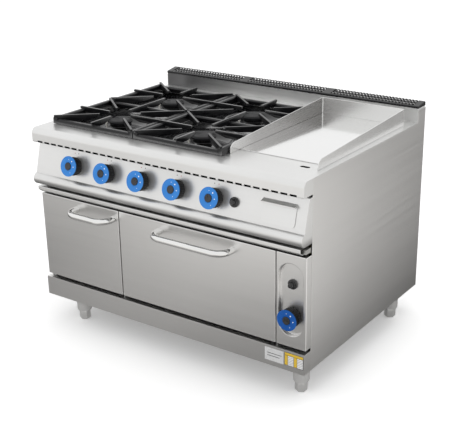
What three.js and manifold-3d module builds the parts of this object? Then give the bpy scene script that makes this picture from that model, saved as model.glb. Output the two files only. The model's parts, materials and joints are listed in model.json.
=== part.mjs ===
// Commercial gas range: four open burners, a smooth griddle, an oven and a side cabinet.
// Millimetres, +Z up. X runs to the right, Y to the back, and Z up from the floor.
// Y = 0 is the front plane of the doors here. The finished group is shifted so that the
// origin lies on the floor, in the middle of the whole range.

import * as THREE from 'three';
import { mergeVertices } from 'three/addons/utils/BufferGeometryUtils.js';
import Module from 'manifold-3d';

const wasm = await Module();
wasm.setup();

// ---------------------------------------------------------------- driving dimensions

const width = 1200;            // over the two side panels
const bodyDepth = 900;         // lower nose of the control panel to the back panel
const sheet = 2;               // stainless sheet of the casing
const thinSheet = 1.5;         // sheet of the doors, pans and drawer
const seam = 0.3;              // gap between pieces that touch
const gap = 3.5;               // gap between neighbouring doors

// Heights, stacked from the floor up.
const legHeight = 112;
const kickHeight = 77;
const kickGap = 11;            // room for the oven door to turn on its hinge
const doorHeight = 341;
const barGap = 4;
const barHeight = 27;
const noseGap = 11;            // shadow gap between front bar and control panel
const lowerNoseRadius = 22.5;
const fasciaHeight = 114;
const ventGap = 9;             // between the control panel and the nose of the top
const upperNoseHeight = 54;
const riserHeight = 48;        // flue riser above the top
const grilleHeight = 23;

// Depths from the front plane of the doors.
const lowerNoseReach = 34;
const upperNoseReach = 22;
const upperNoseRadius = 22;
const kickReach = 9;
const barReach = 14;
const fasciaTopY = 15;
const fasciaBottomY = -16;
const doorThickness = 30;
const doorSeal = 4;            // closed door to the carcass
const riserDepth = 62;

// Columns of the lower front.
const cabinetDoorWidth = 389.5;
const controlBoxWidth = 117.5;
const doorInset = 2;           // cabinet door edge inside the side panel

// Hinges and handles.
const hingeInset = 10;         // rod centre from the hinged edge of a door
const hingeFromFront = 16;     // rod centre from the front plane
const rodRadius = 4;
const rodClearance = 0.6;
const handleRadius = 12.5;
const handleReach = 62;
const handleBend = 45;
const cabinetHandleSpan = 185;
const cabinetHandleRight = 20; // last handle foot to the free edge of the door
const cabinetHandleDrop = 34;  // below the top edge of the door
const ovenHandleSpan = 318;
const ovenHandleRight = 174;
const ovenHandleDrop = 37;

// Hob: two cast grates over four burners, and a griddle beside them.
const grateInset = 30;         // from the left side
const grateWidth = 394;
const grateGap = 4;
const grateFront = 66;
const grateBehind = 89;        // from the grate to the flue riser
const grateBar = 20;
const barLow = 17;             // height of the front, middle and rear bars
const sideBarHigh = 24;
const ribTop = 31;             // top of the ribs over the rim of the pan
const ribThickness = 8;
const horn = 7;                // a rib's overhang past the frame, on the open left side
const shortHorn = 1.5;         // the same on every other side
const fingerTip = 54;          // from the burner centre to a straight finger
const diagonalTip = 78;
const panLip = 12;             // rim of a pan outside its opening
const panDepth = 17;
const bowlRadius = 112;
const bowlDepth = 18;
const burnerRadius = 42;
const griddleInset = 28;       // guard to the right side
const guardGap = 4;            // grate to splash guard
const guardFront = 106;
const guardFrontHeight = 22;
const guardShoulder = 36;      // guard height behind its rounded front corner
const guardHeight = 65;
const guardSheet = 3;
const griddleFront = 165;
const griddleThickness = 14;
const griddleRaise = 3;
const guardBehind = 71;        // splash guard to the flue riser
const griddleLip = 9;

// Controls.
const knobCount = 5;
const firstKnob = 197.5;       // from the left side
const drawerMargin = 110;      // push button to the grease drawer
const knobRadius = 38;
const knobDepth = 45;
const knobRise = 52.5;         // knob axis above the bottom of the fascia
const spindleRadius = 4;
const spindleClearance = 1;
const buttonHead = 11;
const buttonStem = 7;
const dishAroundKnob = 9.5;
const dishDepth = 14;
const dishBottomGap = 43;      // dish to the bottom of the control box
const dishTopGap = 33;
const dishFromRight = 60;
const ovenKnobHeight = 112;    // above the bottom of the doors
const ovenButtonHeight = 230;

// Grease drawer.
const drawerWidth = 130;
const drawerFromRight = 40;
const drawerPlateBottom = 12;  // above the bottom of the fascia
const drawerPlateHeight = 77;
const drawerBoxHeight = 52;
const drawerBoxSide = 10;      // front plate beyond the box
const drawerLength = 400;
const drawerClearance = 2;

// Oven.
const ovenMouthSide = 25;      // door edge to the oven mouth
const ovenMouthHeight = 14;
const ovenBehind = 166;        // oven back to the back panel
const insulation = 20;
const soleHeight = 48;
const soleThickness = 5;
const runnerWidth = 12;
const rackWire = 6;

// Legs.
const legInsetLeft = 115;
const legInsetRight = 58;
const legFromFront = 70;
const legFromBack = 106;
const sleeveRadius = 29;
const footRadius = 23;
const footHeight = 38;

// ---------------------------------------------------------------- levels and places

const half = width / 2;
const carcassFront = doorThickness + doorSeal;
const dishWidth = 2 * (knobRadius + dishAroundKnob);
const backY = bodyDepth - lowerNoseReach;
const kickTop = legHeight + kickHeight;
const doorBottom = kickTop + kickGap;
const doorTop = doorBottom + doorHeight;
const barBottom = doorTop + barGap;
const barTop = barBottom + barHeight;
const lowerNoseBottom = barTop + noseGap;
const fasciaBottom = lowerNoseBottom + 2 * lowerNoseRadius;
const fasciaTop = fasciaBottom + fasciaHeight;
const upperNoseBottom = fasciaTop + ventGap;
const deckTop = upperNoseBottom + upperNoseHeight;
const riserTop = deckTop + riserHeight;
const riserFront = backY - riserDepth;
const cabinetDoorLeft = -half + doorInset;
const cabinetDoorRight = cabinetDoorLeft + cabinetDoorWidth;
const controlBoxLeft = half - controlBoxWidth;
const ovenDoorLeft = cabinetDoorRight + gap;
const ovenDoorRight = controlBoxLeft - gap;
const drawerRight = half - drawerFromRight;
const drawerLeft = drawerRight - drawerWidth;

// ---------------------------------------------------------------- materials

const finish = (color, roughness, metalness) =>
  new THREE.MeshStandardMaterial({ color, roughness, metalness });

const brushedSteel = () => finish(0xc4c4c2, 0.32, 1);
const innerSteel = () => finish(0x9c9c9a, 0.45, 1);
const polishedSteel = () => finish(0xdcdcda, 0.12, 1);
const castIron = () => finish(0x1b1b1c, 0.55, 0.4);
const blackEnamel = () => finish(0x101011, 0.25, 0.1);
const blackPlastic = () => finish(0x151516, 0.5, 0);
const mineralWool = () => finish(0xb9a983, 0.95, 0);
const sealRope = () => finish(0x3a3a3c, 0.9, 0);
const pipeSteel = () => finish(0x8b8f92, 0.4, 0.9);

// ---------------------------------------------------------------- making solids

const range = new THREE.Group();

// A closed solid from a geometry: vertices merged, flat triangles dropped, faces outward.
function solidFrom(geometry) {
  const bare = geometry.clone();
  bare.deleteAttribute('normal');
  bare.deleteAttribute('uv');
  const merged = mergeVertices(bare, 1e-4);
  const points = Float32Array.from(merged.attributes.position.array);
  const triangles = [];
  let volume = 0;
  const corner = (i) => new THREE.Vector3().fromArray(points, 3 * i);
  for (let i = 0; i < merged.index.count; i += 3) {
    const [a, b, c] = [0, 1, 2].map((k) => merged.index.getX(i + k));
    if (a !== b && b !== c && c !== a) {
      triangles.push([a, b, c]);
      volume += corner(a).dot(corner(b).cross(corner(c)));
    }
  }
  const outward = triangles.map(([a, b, c]) => (volume > 0 ? [a, b, c] : [a, c, b]));
  return new wasm.Manifold(new wasm.Mesh({
    numProp: 3,
    vertProperties: points,
    triVerts: Uint32Array.from(outward.flat()),
  }));
}

function geometryFrom(solid) {
  const mesh = solid.getMesh();
  const geometry = new THREE.BufferGeometry();
  geometry.setAttribute('position', new THREE.BufferAttribute(mesh.vertProperties, 3));
  geometry.setIndex(new THREE.BufferAttribute(mesh.triVerts, 1));
  geometry.computeVertexNormals();
  return geometry;
}

// Adds a solid to the range as a named piece, at an optional place and tilt about X.
function piece(name, solid, material, place = [0, 0, 0], tilt = 0) {
  const mesh = new THREE.Mesh(geometryFrom(solid), material);
  mesh.name = name;
  mesh.position.set(...place);
  mesh.rotation.x = tilt;
  range.add(mesh);
}

const join = (solids) => solids.reduce((whole, next) => whole.add(next));

function block(x0, x1, y0, y1, z0, z1) {
  const geometry = new THREE.BoxGeometry(x1 - x0, y1 - y0, z1 - z0);
  geometry.translate((x0 + x1) / 2, (y0 + y1) / 2, (z0 + z1) / 2);
  return solidFrom(geometry);
}

const asShape = (points) => new THREE.Shape(points.map(([u, v]) => new THREE.Vector2(u, v)));

function extrude(shape, depth, curveSegments = 6) {
  return new THREE.ExtrudeGeometry(shape, { depth, bevelEnabled: false, curveSegments });
}

// An outline in Y and Z, drawn out along X.
function alongX(outline, x0, x1) {
  const geometry = extrude(asShape(outline), x1 - x0);
  const turn = new THREE.Matrix4().makeBasis(
    new THREE.Vector3(0, 1, 0), new THREE.Vector3(0, 0, 1), new THREE.Vector3(1, 0, 0));
  geometry.applyMatrix4(turn);
  geometry.translate(x0, 0, 0);
  return solidFrom(geometry);
}

// A shape in X and Z, drawn out along Y.
function alongY(shape, y0, y1) {
  const geometry = extrude(shape, y1 - y0);
  geometry.rotateX(Math.PI / 2);
  geometry.translate(0, y1, 0);
  return solidFrom(geometry);
}

// A round profile of [radius, height] points, turned about Z.
function turned(profile, segments) {
  const points = profile.map(([radius, height]) => new THREE.Vector2(radius, height));
  const geometry = new THREE.LatheGeometry(points, segments);
  geometry.rotateX(Math.PI / 2);
  return solidFrom(geometry);
}

function rod(radius, from, to, sides = 12) {
  const start = new THREE.Vector3(...from);
  const run = new THREE.Vector3(...to).sub(start);
  const geometry = new THREE.CylinderGeometry(radius, radius, run.length(), sides);
  geometry.translate(0, run.length() / 2, 0);
  const turn = new THREE.Quaternion().setFromUnitVectors(
    new THREE.Vector3(0, 1, 0), run.clone().normalize());
  geometry.applyQuaternion(turn);
  geometry.translate(start.x, start.y, start.z);
  return solidFrom(geometry);
}

// A round bar bent along a smooth line through the points.
function bentRod(radius, points, steps, sides) {
  const path = new THREE.CatmullRomCurve3(points.map((p) => new THREE.Vector3(...p)));
  const section = new THREE.Shape().absarc(0, 0, radius, 0, 2 * Math.PI);
  const geometry = new THREE.ExtrudeGeometry(section, {
    steps, extrudePath: path, curveSegments: sides / 2, bevelEnabled: false,
  });
  return solidFrom(geometry);
}

function arc(centreU, centreV, radius, fromDegrees, toDegrees, steps) {
  return Array.from({ length: steps + 1 }, (_, i) => {
    const angle = THREE.MathUtils.degToRad(fromDegrees + (toDegrees - fromDegrees) * i / steps);
    return [centreU + radius * Math.cos(angle), centreV + radius * Math.sin(angle)];
  });
}

// Outline of a folded sheet: the outer path, and back along it one sheet to its left.
function foldedSheet(path, thickness) {
  const direction = (i) => new THREE.Vector2(...path[i + 1])
    .sub(new THREE.Vector2(...path[i])).normalize();
  const inner = path.map(([u, v], i) => {
    const before = direction(Math.max(i - 1, 0));
    const after = direction(Math.min(i, path.length - 2));
    const mitre = before.clone().add(after).normalize();
    const reach = thickness / mitre.dot(before);
    return [u - mitre.y * reach, v + mitre.x * reach];
  });
  return [...path, ...inner.reverse()];
}

// A box of sheet, open on one side: the inner block is taken out of the outer one.
const shell = (outer, inner) => block(...outer).subtract(block(...inner));

// An upright slot with round ends, in X and Z.
function stadium(centreX, bottom, top, halfWidth) {
  const shape = new THREE.Shape();
  shape.absarc(centreX, top - halfWidth, halfWidth, 0, Math.PI, false);
  shape.absarc(centreX, bottom + halfWidth, halfWidth, Math.PI, 2 * Math.PI, false);
  return shape;
}

// ---------------------------------------------------------------- casing

// Base tray: a folded pan that carries the ovens and stands on the legs.
const trayRim = 30;
const trayX = half - sheet - seam;
piece('base_tray', shell(
  [-trayX, trayX, carcassFront, backY - sheet - seam, legHeight, legHeight + trayRim],
  [-trayX + sheet, trayX - sheet, carcassFront + sheet, backY - 2 * sheet - seam,
    legHeight + sheet, legHeight + trayRim + sheet]), innerSteel());

// Kick plate: a channel under the doors. Two ears stand in the door gaps and hold the oven rod.
const earSheet = 1.5;
const earBase = kickTop - sheet;
const earTop = doorBottom + hingeInset + 3 * rodRadius;
const earFront = hingeFromFront - 2 * rodRadius;
const earSpare = (gap - earSheet) / 2;
const hingeZ = doorBottom + hingeInset;
const rodHole = rodRadius + rodClearance;
const kickBack = carcassFront - seam;
const kickShell = shell(
  [-half, half, -kickReach, kickBack, legHeight, kickTop],
  [-half + sheet, half - sheet, sheet - kickReach, kickBack + sheet, legHeight - sheet,
    kickTop - sheet]);
const ears = [ovenDoorLeft - gap + earSpare, ovenDoorRight + earSpare].map((x) =>
  block(x, x + earSheet, earFront, kickBack - sheet, earBase, earTop));
const earHole = rod(rodHole, [-half, hingeFromFront, hingeZ], [half, hingeFromFront, hingeZ]);
piece('kick_plate', join([kickShell, ...ears]).subtract(earHole), brushedSteel());

// Side panels: flat sheets with a post that rises beside the flue riser.
const sideTop = deckTop - sheet - seam;
const sideOutline = [
  [carcassFront, legHeight], [backY, legHeight], [backY, riserTop], [riserFront, riserTop],
  [riserFront, sideTop], [carcassFront, sideTop],
];
piece('side_panel_left', alongX(sideOutline, -half, -half + sheet), brushedSteel());
piece('side_panel_right', alongX(sideOutline, half - sheet, half), brushedSteel());

// Back panel, with a round hole for the end of the gas pipe.
const innerHalf = half - sheet - seam;
const pipeRadius = 11;
const pipeExitX = half - 40;
const pipeZ = lowerNoseBottom + 17;
const backSheet = block(-innerHalf, innerHalf, backY - sheet, backY, legHeight, riserTop);
const pipeHole = rod(pipeRadius + sheet, [pipeExitX, backY - 20, pipeZ],
  [pipeExitX, backY + 20, pipeZ]);
piece('back_panel', backSheet.subtract(pipeHole), brushedSteel());

// Front bar: a folded rail across the carcass, over the doors.
const barPath = [
  [kickBack, barTop], [-barReach, barTop], [-barReach, barBottom + 10],
  [-doorInset, barBottom], [kickBack, barBottom],
];
const barEnd = (x) => alongX(barPath, x, x + sheet);
piece('front_bar', join([
  alongX(foldedSheet(barPath, sheet), -half, half), barEnd(-half), barEnd(half - sheet),
]), brushedSteel());

// Cabinet box: the open store behind the cabinet door.
const boxLeft = -half + 3 * sheet;
const boxRight = cabinetDoorRight - sheet;
const boxBack = backY - ovenBehind;
const boxBottom = doorBottom - 2 * sheet;
const boxTop = doorTop + sheet;
piece('cabinet_box', shell(
  [boxLeft, boxRight, carcassFront, boxBack, boxBottom, boxTop],
  [boxLeft + thinSheet, boxRight - thinSheet, carcassFront - sheet, boxBack - thinSheet,
    boxBottom + thinSheet, boxTop - thinSheet]), innerSteel());

// ---------------------------------------------------------------- legs

// Tapered sleeves under the tray, and hexagon feet that screw up into them.
const sleeveTop = legHeight - seam;
const boreRadius = 12;
const stemClearance = 1.5;
const sleeve = turned([
  [boreRadius, footHeight + seam], [sleeveRadius - 5, footHeight + seam],
  [sleeveRadius, footHeight + 12], [sleeveRadius + 1, sleeveTop - 3],
  [sleeveRadius + 8, sleeveTop - 3], [sleeveRadius + 8, sleeveTop], [boreRadius, sleeveTop],
  [boreRadius, footHeight + seam],
], 12);
const stem = rod(boreRadius - stemClearance, [0, 0, footHeight - 1], [0, 0, sleeveTop - 6], 10);
const foot = turned([
  [0, 0], [footRadius - 4, 0], [footRadius, 5], [footRadius, footHeight - 6],
  [footRadius - 4, footHeight], [0, footHeight],
], 6).add(stem);
const legPlaces = [
  [-half + legInsetLeft, legFromFront], [half - legInsetRight, legFromFront],
  [-half + legInsetLeft, backY - legFromBack], [half - legInsetRight, backY - legFromBack],
];
legPlaces.forEach(([x, y], i) => {
  piece(`leg_sleeve_${i + 1}`, sleeve, brushedSteel(), [x, y, 0]);
  piece(`leg_foot_${i + 1}`, foot, innerSteel(), [x, y, 0]);
});

// ---------------------------------------------------------------- top and control panel

// The top: one sheet with a rounded nose. Cooling slots run through the lower bend of the nose.
const nosePath = [
  [carcassFront - seam, deckTop],
  ...arc(upperNoseRadius - upperNoseReach, deckTop - upperNoseRadius, upperNoseRadius, 90, 180, 4),
  ...arc(4 - upperNoseReach, upperNoseBottom + 4, 4, 180, 270, 1),
  [carcassFront - seam, upperNoseBottom],
];
const deckPath = [[riserFront - seam, deckTop], ...nosePath.slice(1)];
const noseEnd = (x) => alongX(nosePath, x, x + sheet);

const slotPitch = 35;
const slotLength = 24;
const slotHeight = 6;
const slotMargin = 20;
const slotCount = Math.floor((width - 2 * slotMargin + slotPitch - slotLength) / slotPitch);
const firstSlot = -((slotCount - 1) * slotPitch + slotLength) / 2;
const coolingSlots = Array.from({ length: slotCount }, (_, i) => {
  const x = firstSlot + i * slotPitch;
  return block(x, x + slotLength, -upperNoseReach - 1, -upperNoseReach + 12,
    upperNoseBottom - 1, upperNoseBottom + slotHeight);
});

// Openings for the two burner pans, the griddle plate and the grease drain.
const grateRear = riserFront - grateBehind;
const grateLefts = [0, 1].map((i) => -half + grateInset + i * (grateWidth + grateGap));
const panEdge = 4;             // rim of a pan inside the outline of its grate
const openingEdge = panEdge + panLip;
const panOpening = (left) => [
  left + openingEdge, left + grateWidth - openingEdge,
  grateFront + openingEdge, grateRear - openingEdge,
];
const guardLeft = grateLefts[1] + grateWidth + guardGap;
const guardRight = half - griddleInset + guardSheet;
const plateLeft = guardLeft + guardSheet + 1;
const plateRight = guardRight - guardSheet - 1;
const guardBack = riserFront - guardBehind;
const plateRear = guardBack - guardSheet - 1;

const cutLow = deckTop - 20;
const cutHigh = deckTop + 20;
const drainRadius = 8;
const drainHalf = 10;          // middle of the oval to the centre of each round end
const drainX = (drawerLeft + drawerRight) / 2 + 23;
const drainY = guardFront + 14;
const drainEnd = (x) => rod(drainRadius, [x, drainY, cutLow], [x, drainY, cutHigh]);
const drain = join([
  drainEnd(drainX - drainHalf), drainEnd(drainX + drainHalf),
  block(drainX - drainHalf, drainX + drainHalf, drainY - drainRadius + 1,
    drainY + drainRadius - 1, cutLow, cutHigh),
]);
const deckOpenings = [
  ...grateLefts.map((left) => block(...panOpening(left), cutLow, cutHigh)),
  block(plateLeft + griddleLip, plateRight - griddleLip, griddleFront + griddleLip,
    plateRear - griddleLip, cutLow, cutHigh),
];
const deckBlank = join([
  alongX(foldedSheet(deckPath, sheet), -half, half), noseEnd(-half), noseEnd(half - sheet),
]);
piece('deck', deckBlank.subtract(join(deckOpenings)).subtract(drain)
  .subtract(join(coolingSlots)), brushedSteel());

// Control panel: a sloping fascia over a half-round nose, closed at both ends.
const fasciaSlope = (fasciaTopY - fasciaBottomY) / fasciaHeight;
const fasciaY = (z) => fasciaBottomY + (z - fasciaBottom) * fasciaSlope;
const fasciaTilt = Math.atan2(1, fasciaSlope);
const outOfPanel = new THREE.Vector3(0, -Math.sin(fasciaTilt), Math.cos(fasciaTilt));
const noseCentreY = lowerNoseRadius - lowerNoseReach;
const noseCentreZ = lowerNoseBottom + lowerNoseRadius;
const creaseAngle = 101;
const panelPath = [
  [kickBack, fasciaTop], [fasciaTopY, fasciaTop],
  ...arc(noseCentreY, noseCentreZ, lowerNoseRadius, creaseAngle, 270, 6),
  [kickBack, lowerNoseBottom],
];
const panelEnd = (x) => alongX(panelPath, x, x + sheet);

const knobPitch = (half + drawerLeft - drawerMargin - firstKnob) / (knobCount - 0.5);
const knobXs = Array.from({ length: knobCount }, (_, i) => -half + firstKnob + i * knobPitch);
const buttonX = knobXs[knobCount - 1] + knobPitch / 2;
const controlZ = fasciaBottom + knobRise;
const controlY = fasciaY(controlZ);

const panelHole = (x, radius) => {
  const centre = new THREE.Vector3(x, controlY, controlZ);
  const out = centre.clone().addScaledVector(outOfPanel, 10);
  const back = centre.clone().addScaledVector(outOfPanel, -14);
  return rod(radius, back.toArray(), out.toArray(), 12);
};

const drawerBottom = fasciaBottom + drawerPlateBottom + 8;
const drawerTop = drawerBottom + drawerBoxHeight;
const drawerPlateTop = fasciaBottom + drawerPlateBottom + drawerPlateHeight;
const boxX0 = drawerLeft + drawerBoxSide;
const boxX1 = drawerRight - drawerBoxSide;
const drawerHole = block(boxX0 - drawerClearance, boxX1 + drawerClearance, -lowerNoseReach,
  carcassFront, drawerBottom - drawerClearance, drawerTop + drawerClearance);

// Angle runners welded behind the fascia carry the grease drawer.
const runnerWall = boxX0 - drawerClearance - sheet;
const runnerFront = carcassFront - 8;
const runnerLow = drawerBottom - 6;
const runnerHigh = drawerBottom + 18;
const runner = (wall, ledge) => join([
  block(wall, wall + sheet, runnerFront, drawerLength, runnerLow, runnerHigh),
  block(Math.min(wall, ledge), Math.max(wall, ledge) + sheet, runnerFront, drawerLength,
    runnerLow, runnerLow + sheet),
  block(wall, wall + sheet, -lowerNoseReach, carcassFront, runnerLow, runnerHigh)
    .intersect(alongX(panelPath, wall, wall + sheet)),
]);
const rightWall = boxX1 + drawerClearance;
piece('control_panel', join([
  alongX(foldedSheet(panelPath, sheet), -half, half), panelEnd(-half), panelEnd(half - sheet),
  runner(runnerWall, boxX0 + 4), runner(rightWall, boxX1 - 6),
]).subtract(join([
  drawerHole, panelHole(buttonX, buttonStem + 1),
  ...knobXs.map((x) => panelHole(x, spindleRadius + spindleClearance)),
])), brushedSteel());

// Grease drawer: a tray with a sloping front plate. The top of the plate folds forward into a
// small awning with a lip, and fingers pull the drawer from under it.
const plateOff = 1;
const pullReach = 14;
const pullFall = 5;            // from the back of the awning to its lip
const pullLip = 4;
const plateLow = fasciaBottom + drawerPlateBottom;
const awningZ = drawerPlateTop - 1.5 * thinSheet;
const lipZ = awningZ - pullFall;
const plateFront = (z) => fasciaY(z) - plateOff - thinSheet;
const frontPath = [
  [plateFront(lipZ) - pullReach, lipZ - pullLip], [plateFront(lipZ) - pullReach, lipZ],
  [plateFront(awningZ), awningZ], [plateFront(plateLow), plateLow],
];
const cornerRadius = 14;
const plateFace = new THREE.Shape();
plateFace.moveTo(drawerLeft, drawerPlateTop + 5);
plateFace.lineTo(drawerLeft, plateLow + cornerRadius);
plateFace.quadraticCurveTo(drawerLeft, plateLow, drawerLeft + cornerRadius, plateLow);
plateFace.lineTo(drawerRight - cornerRadius, plateLow);
plateFace.quadraticCurveTo(drawerRight, plateLow, drawerRight, plateLow + cornerRadius);
plateFace.lineTo(drawerRight, drawerPlateTop + 5);
const frontPlate = alongX(foldedSheet(frontPath, thinSheet), drawerLeft, drawerRight)
  .intersect(alongY(plateFace, -2 * lowerNoseReach, carcassFront));
const traySide = (z) => fasciaY(z) - plateOff - thinSheet / 2;
const drawerBlank = alongX([
  [traySide(drawerBottom), drawerBottom], [drawerLength, drawerBottom],
  [drawerLength, drawerTop], [traySide(drawerTop), drawerTop],
], boxX0, boxX1);
const drawerHollow = alongX([
  [traySide(drawerBottom) + 2 * thinSheet, drawerBottom + thinSheet],
  [drawerLength - thinSheet, drawerBottom + thinSheet],
  [drawerLength - thinSheet, drawerTop + 5],
  [traySide(drawerTop) + 2 * thinSheet, drawerTop + 5],
], boxX0 + thinSheet, boxX1 - thinSheet);
piece('grease_drawer', frontPlate.add(drawerBlank.subtract(drawerHollow)), brushedSteel());

// Knobs: a fluted grip behind a flat dial, turning on a spindle that enters the gas tap.
const tapDepth = 12;
const knob = turned([
  [0, -tapDepth], [spindleRadius, -tapDepth], [spindleRadius, 3], [knobRadius - 6, 3],
  [knobRadius - 3, 12], [knobRadius - 4, knobDepth - 9], [knobRadius, knobDepth - 7],
  [knobRadius, knobDepth - 4], [knobRadius - 2, knobDepth - 3], [13, knobDepth - 3],
  [12, knobDepth], [0, knobDepth],
], 16);
knobXs.forEach((x, i) => {
  piece(`knob_${i + 1}`, knob, blackPlastic(), [x, controlY, controlZ], fasciaTilt);
});

// Push buttons of the spark igniters: a stem with a domed head.
const button = turned([
  [0, -tapDepth], [buttonStem, -tapDepth], [buttonStem, 12], [buttonHead, 13],
  [buttonHead, 19], [buttonHead - 4, 22], [0, 23],
], 12);
piece('igniter_button_hob', button, blackPlastic(), [buttonX, controlY, controlZ], fasciaTilt);

// ---------------------------------------------------------------- oven control box

const dishX = half - dishFromRight;
const dishBottom = doorBottom + dishBottomGap;
const dishTop = doorTop - dishTopGap;
const ovenKnobZ = doorBottom + ovenKnobHeight;
const ovenButtonZ = doorBottom + ovenButtonHeight;
const boxFrame = shell(
  [controlBoxLeft, half, 0, kickBack, doorBottom, doorTop],
  [controlBoxLeft + thinSheet, half - thinSheet, thinSheet, kickBack + sheet,
    doorBottom + thinSheet, doorTop - thinSheet]);
const dishOuter = alongY(stadium(dishX, dishBottom - thinSheet, dishTop + thinSheet,
  dishWidth / 2 + thinSheet), 0, dishDepth + thinSheet);
const dishHollow = alongY(stadium(dishX, dishBottom, dishTop, dishWidth / 2), -1, dishDepth);
const dishHole = (x, z, radius) => rod(radius, [x, 0, z], [x, carcassFront, z], 12);
piece('oven_control_box', boxFrame.add(dishOuter).subtract(dishHollow)
  .subtract(dishHole(dishX, ovenKnobZ, spindleRadius + spindleClearance))
  .subtract(dishHole(dishX, ovenButtonZ, buttonStem + 1)), brushedSteel());
piece('oven_knob', knob, blackPlastic(), [dishX, dishDepth, ovenKnobZ], Math.PI / 2);
piece('igniter_button_oven', button, blackPlastic(), [dishX, dishDepth, ovenButtonZ],
  Math.PI / 2);

// ---------------------------------------------------------------- doors

// A door is a pressed skin, with a liner sheet closing its back inside the rim.
const doorSkin = (left, right) => shell(
  [left, right, 0, doorThickness, doorBottom, doorTop],
  [left + thinSheet, right - thinSheet, thinSheet, doorThickness + sheet,
    doorBottom + thinSheet, doorTop - thinSheet]);
const doorLiner = (left, right) => block(
  left + thinSheet + seam, right - thinSheet - seam, doorThickness - thinSheet, doorThickness,
  doorBottom + thinSheet + seam, doorTop - thinSheet - seam);

// A D handle: one bar bent through two quarter circles, between two feet on the door skin.
function handle(leftX, rightX, z) {
  const straight = handleReach - handleBend;
  const lead = 2;              // from the end of a bend to the next point on the bar
  const bend = (centreX, from, to) =>
    arc(centreX, -straight, handleBend, from, to, 4).map(([x, y]) => [x, y, z]);
  const middle = (leftX + rightX) / 2;
  const points = [
    [leftX, -seam, z], ...bend(leftX + handleBend, 180, 270),
    [leftX + handleBend + lead, -handleReach, z], [middle, -handleReach, z],
    [rightX - handleBend - lead, -handleReach, z],
    ...bend(rightX - handleBend, 270, 360), [rightX, -seam, z],
  ];
  return bentRod(handleRadius, points, 30, 8);
}

const cabinetHingeX = cabinetDoorLeft + hingeInset;
const cabinetRodHole = rod(rodHole, [cabinetHingeX, hingeFromFront, doorBottom - 5],
  [cabinetHingeX, hingeFromFront, doorTop + 5]);
piece('cabinet_door_skin', doorSkin(cabinetDoorLeft, cabinetDoorRight).subtract(cabinetRodHole),
  brushedSteel());
piece('cabinet_door_liner', doorLiner(cabinetDoorLeft, cabinetDoorRight), innerSteel());
const cabinetHandleEnd = cabinetDoorRight - cabinetHandleRight;
piece('cabinet_door_handle', handle(cabinetHandleEnd - cabinetHandleSpan, cabinetHandleEnd,
  doorTop - cabinetHandleDrop), polishedSteel());
piece('cabinet_hinge_rod', rod(rodRadius, [cabinetHingeX, hingeFromFront, kickTop + seam],
  [cabinetHingeX, hingeFromFront, barBottom - seam]), innerSteel());

piece('oven_door_skin', doorSkin(ovenDoorLeft, ovenDoorRight).subtract(earHole), brushedSteel());
piece('oven_door_liner', doorLiner(ovenDoorLeft, ovenDoorRight), innerSteel());
const ovenHandleEnd = ovenDoorRight - ovenHandleRight;
piece('oven_door_handle', handle(ovenHandleEnd - ovenHandleSpan, ovenHandleEnd,
  doorTop - ovenHandleDrop), polishedSteel());
piece('oven_hinge_rod', rod(rodRadius,
  [ovenDoorLeft - gap + earSpare, hingeFromFront, hingeZ],
  [ovenDoorRight + gap - earSpare, hingeFromFront, hingeZ]), innerSteel());

// ---------------------------------------------------------------- oven

// Liner: a front frame and a box, with runners for the rack and ledges for the sole plate.
const mouthLeft = ovenDoorLeft + ovenMouthSide;
const mouthRight = ovenDoorRight - ovenMouthSide;
const mouthBottom = doorBottom + ovenMouthHeight;
const mouthTop = doorTop - ovenMouthHeight;
const ovenBack = backY - ovenBehind;
const soleZ = mouthBottom + soleHeight;
const soleLedge = soleZ - seam;
const cavityHeight = mouthTop - soleZ - soleThickness;
const rackZ = soleZ + soleThickness + cavityHeight / 2;
const railSheet = 3;
const upperRails = 70;         // spare rack places over and under the middle one
const lowerRails = 60;
const railFront = carcassFront + 10;
const railBack = ovenBack - 10;
const wallRails = (z) => [
  block(mouthLeft - 1, mouthLeft + runnerWidth, railFront, railBack, z - railSheet, z),
  block(mouthRight - runnerWidth, mouthRight + 1, railFront, railBack, z - railSheet, z),
];
const frontFrame = block(ovenDoorLeft, ovenDoorRight, carcassFront, carcassFront + sheet,
  boxBottom, boxTop);
const linerBox = block(mouthLeft - sheet, mouthRight + sheet, carcassFront + 1, ovenBack,
  mouthBottom - sheet, mouthTop + sheet);
const linerHollow = block(mouthLeft, mouthRight, carcassFront - 1, ovenBack - sheet,
  mouthBottom, mouthTop);
piece('oven_liner', join([
  frontFrame.add(linerBox).subtract(linerHollow),
  ...[soleLedge, rackZ, rackZ + upperRails, rackZ - lowerRails].flatMap(wallRails),
]), innerSteel());

// Mineral wool around the liner, open towards the door.
const woolClear = sheet + seam;
const woolFront = carcassFront + sheet + seam;
piece('oven_insulation', shell(
  [mouthLeft - woolClear - insulation, mouthRight + woolClear + insulation, woolFront,
    ovenBack + seam + insulation, mouthBottom - woolClear - insulation + 3,
    mouthTop + woolClear + insulation],
  [mouthLeft - woolClear, mouthRight + woolClear, woolFront - 5, ovenBack + seam,
    mouthBottom - woolClear, mouthTop + woolClear]), mineralWool());

// Sole plate, with slots along both sides that let the hot air rise.
const soleClear = 2;
const soleSlotWidth = 12;
const soleSlotInset = 34;
const soleSlotEnd = 60;        // first and last slot to the front and back of the oven
const soleSlotPitch = (ovenBack - carcassFront - 2 * soleSlotEnd) / 4;
const soleSlots = [0, 1, 2, 3].flatMap((i) => {
  const y = carcassFront + soleSlotEnd + i * soleSlotPitch;
  return [mouthLeft + soleSlotInset, mouthRight - soleSlotInset - soleSlotWidth].map((x) =>
    block(x, x + soleSlotWidth, y, y + soleSlotPitch - 30, soleZ - 5, soleZ + 20));
});
piece('oven_sole_plate', block(mouthLeft + soleClear, mouthRight - soleClear, railFront,
  ovenBack - sheet - 6, soleZ, soleZ + soleThickness).subtract(join(soleSlots)), innerSteel());

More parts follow.
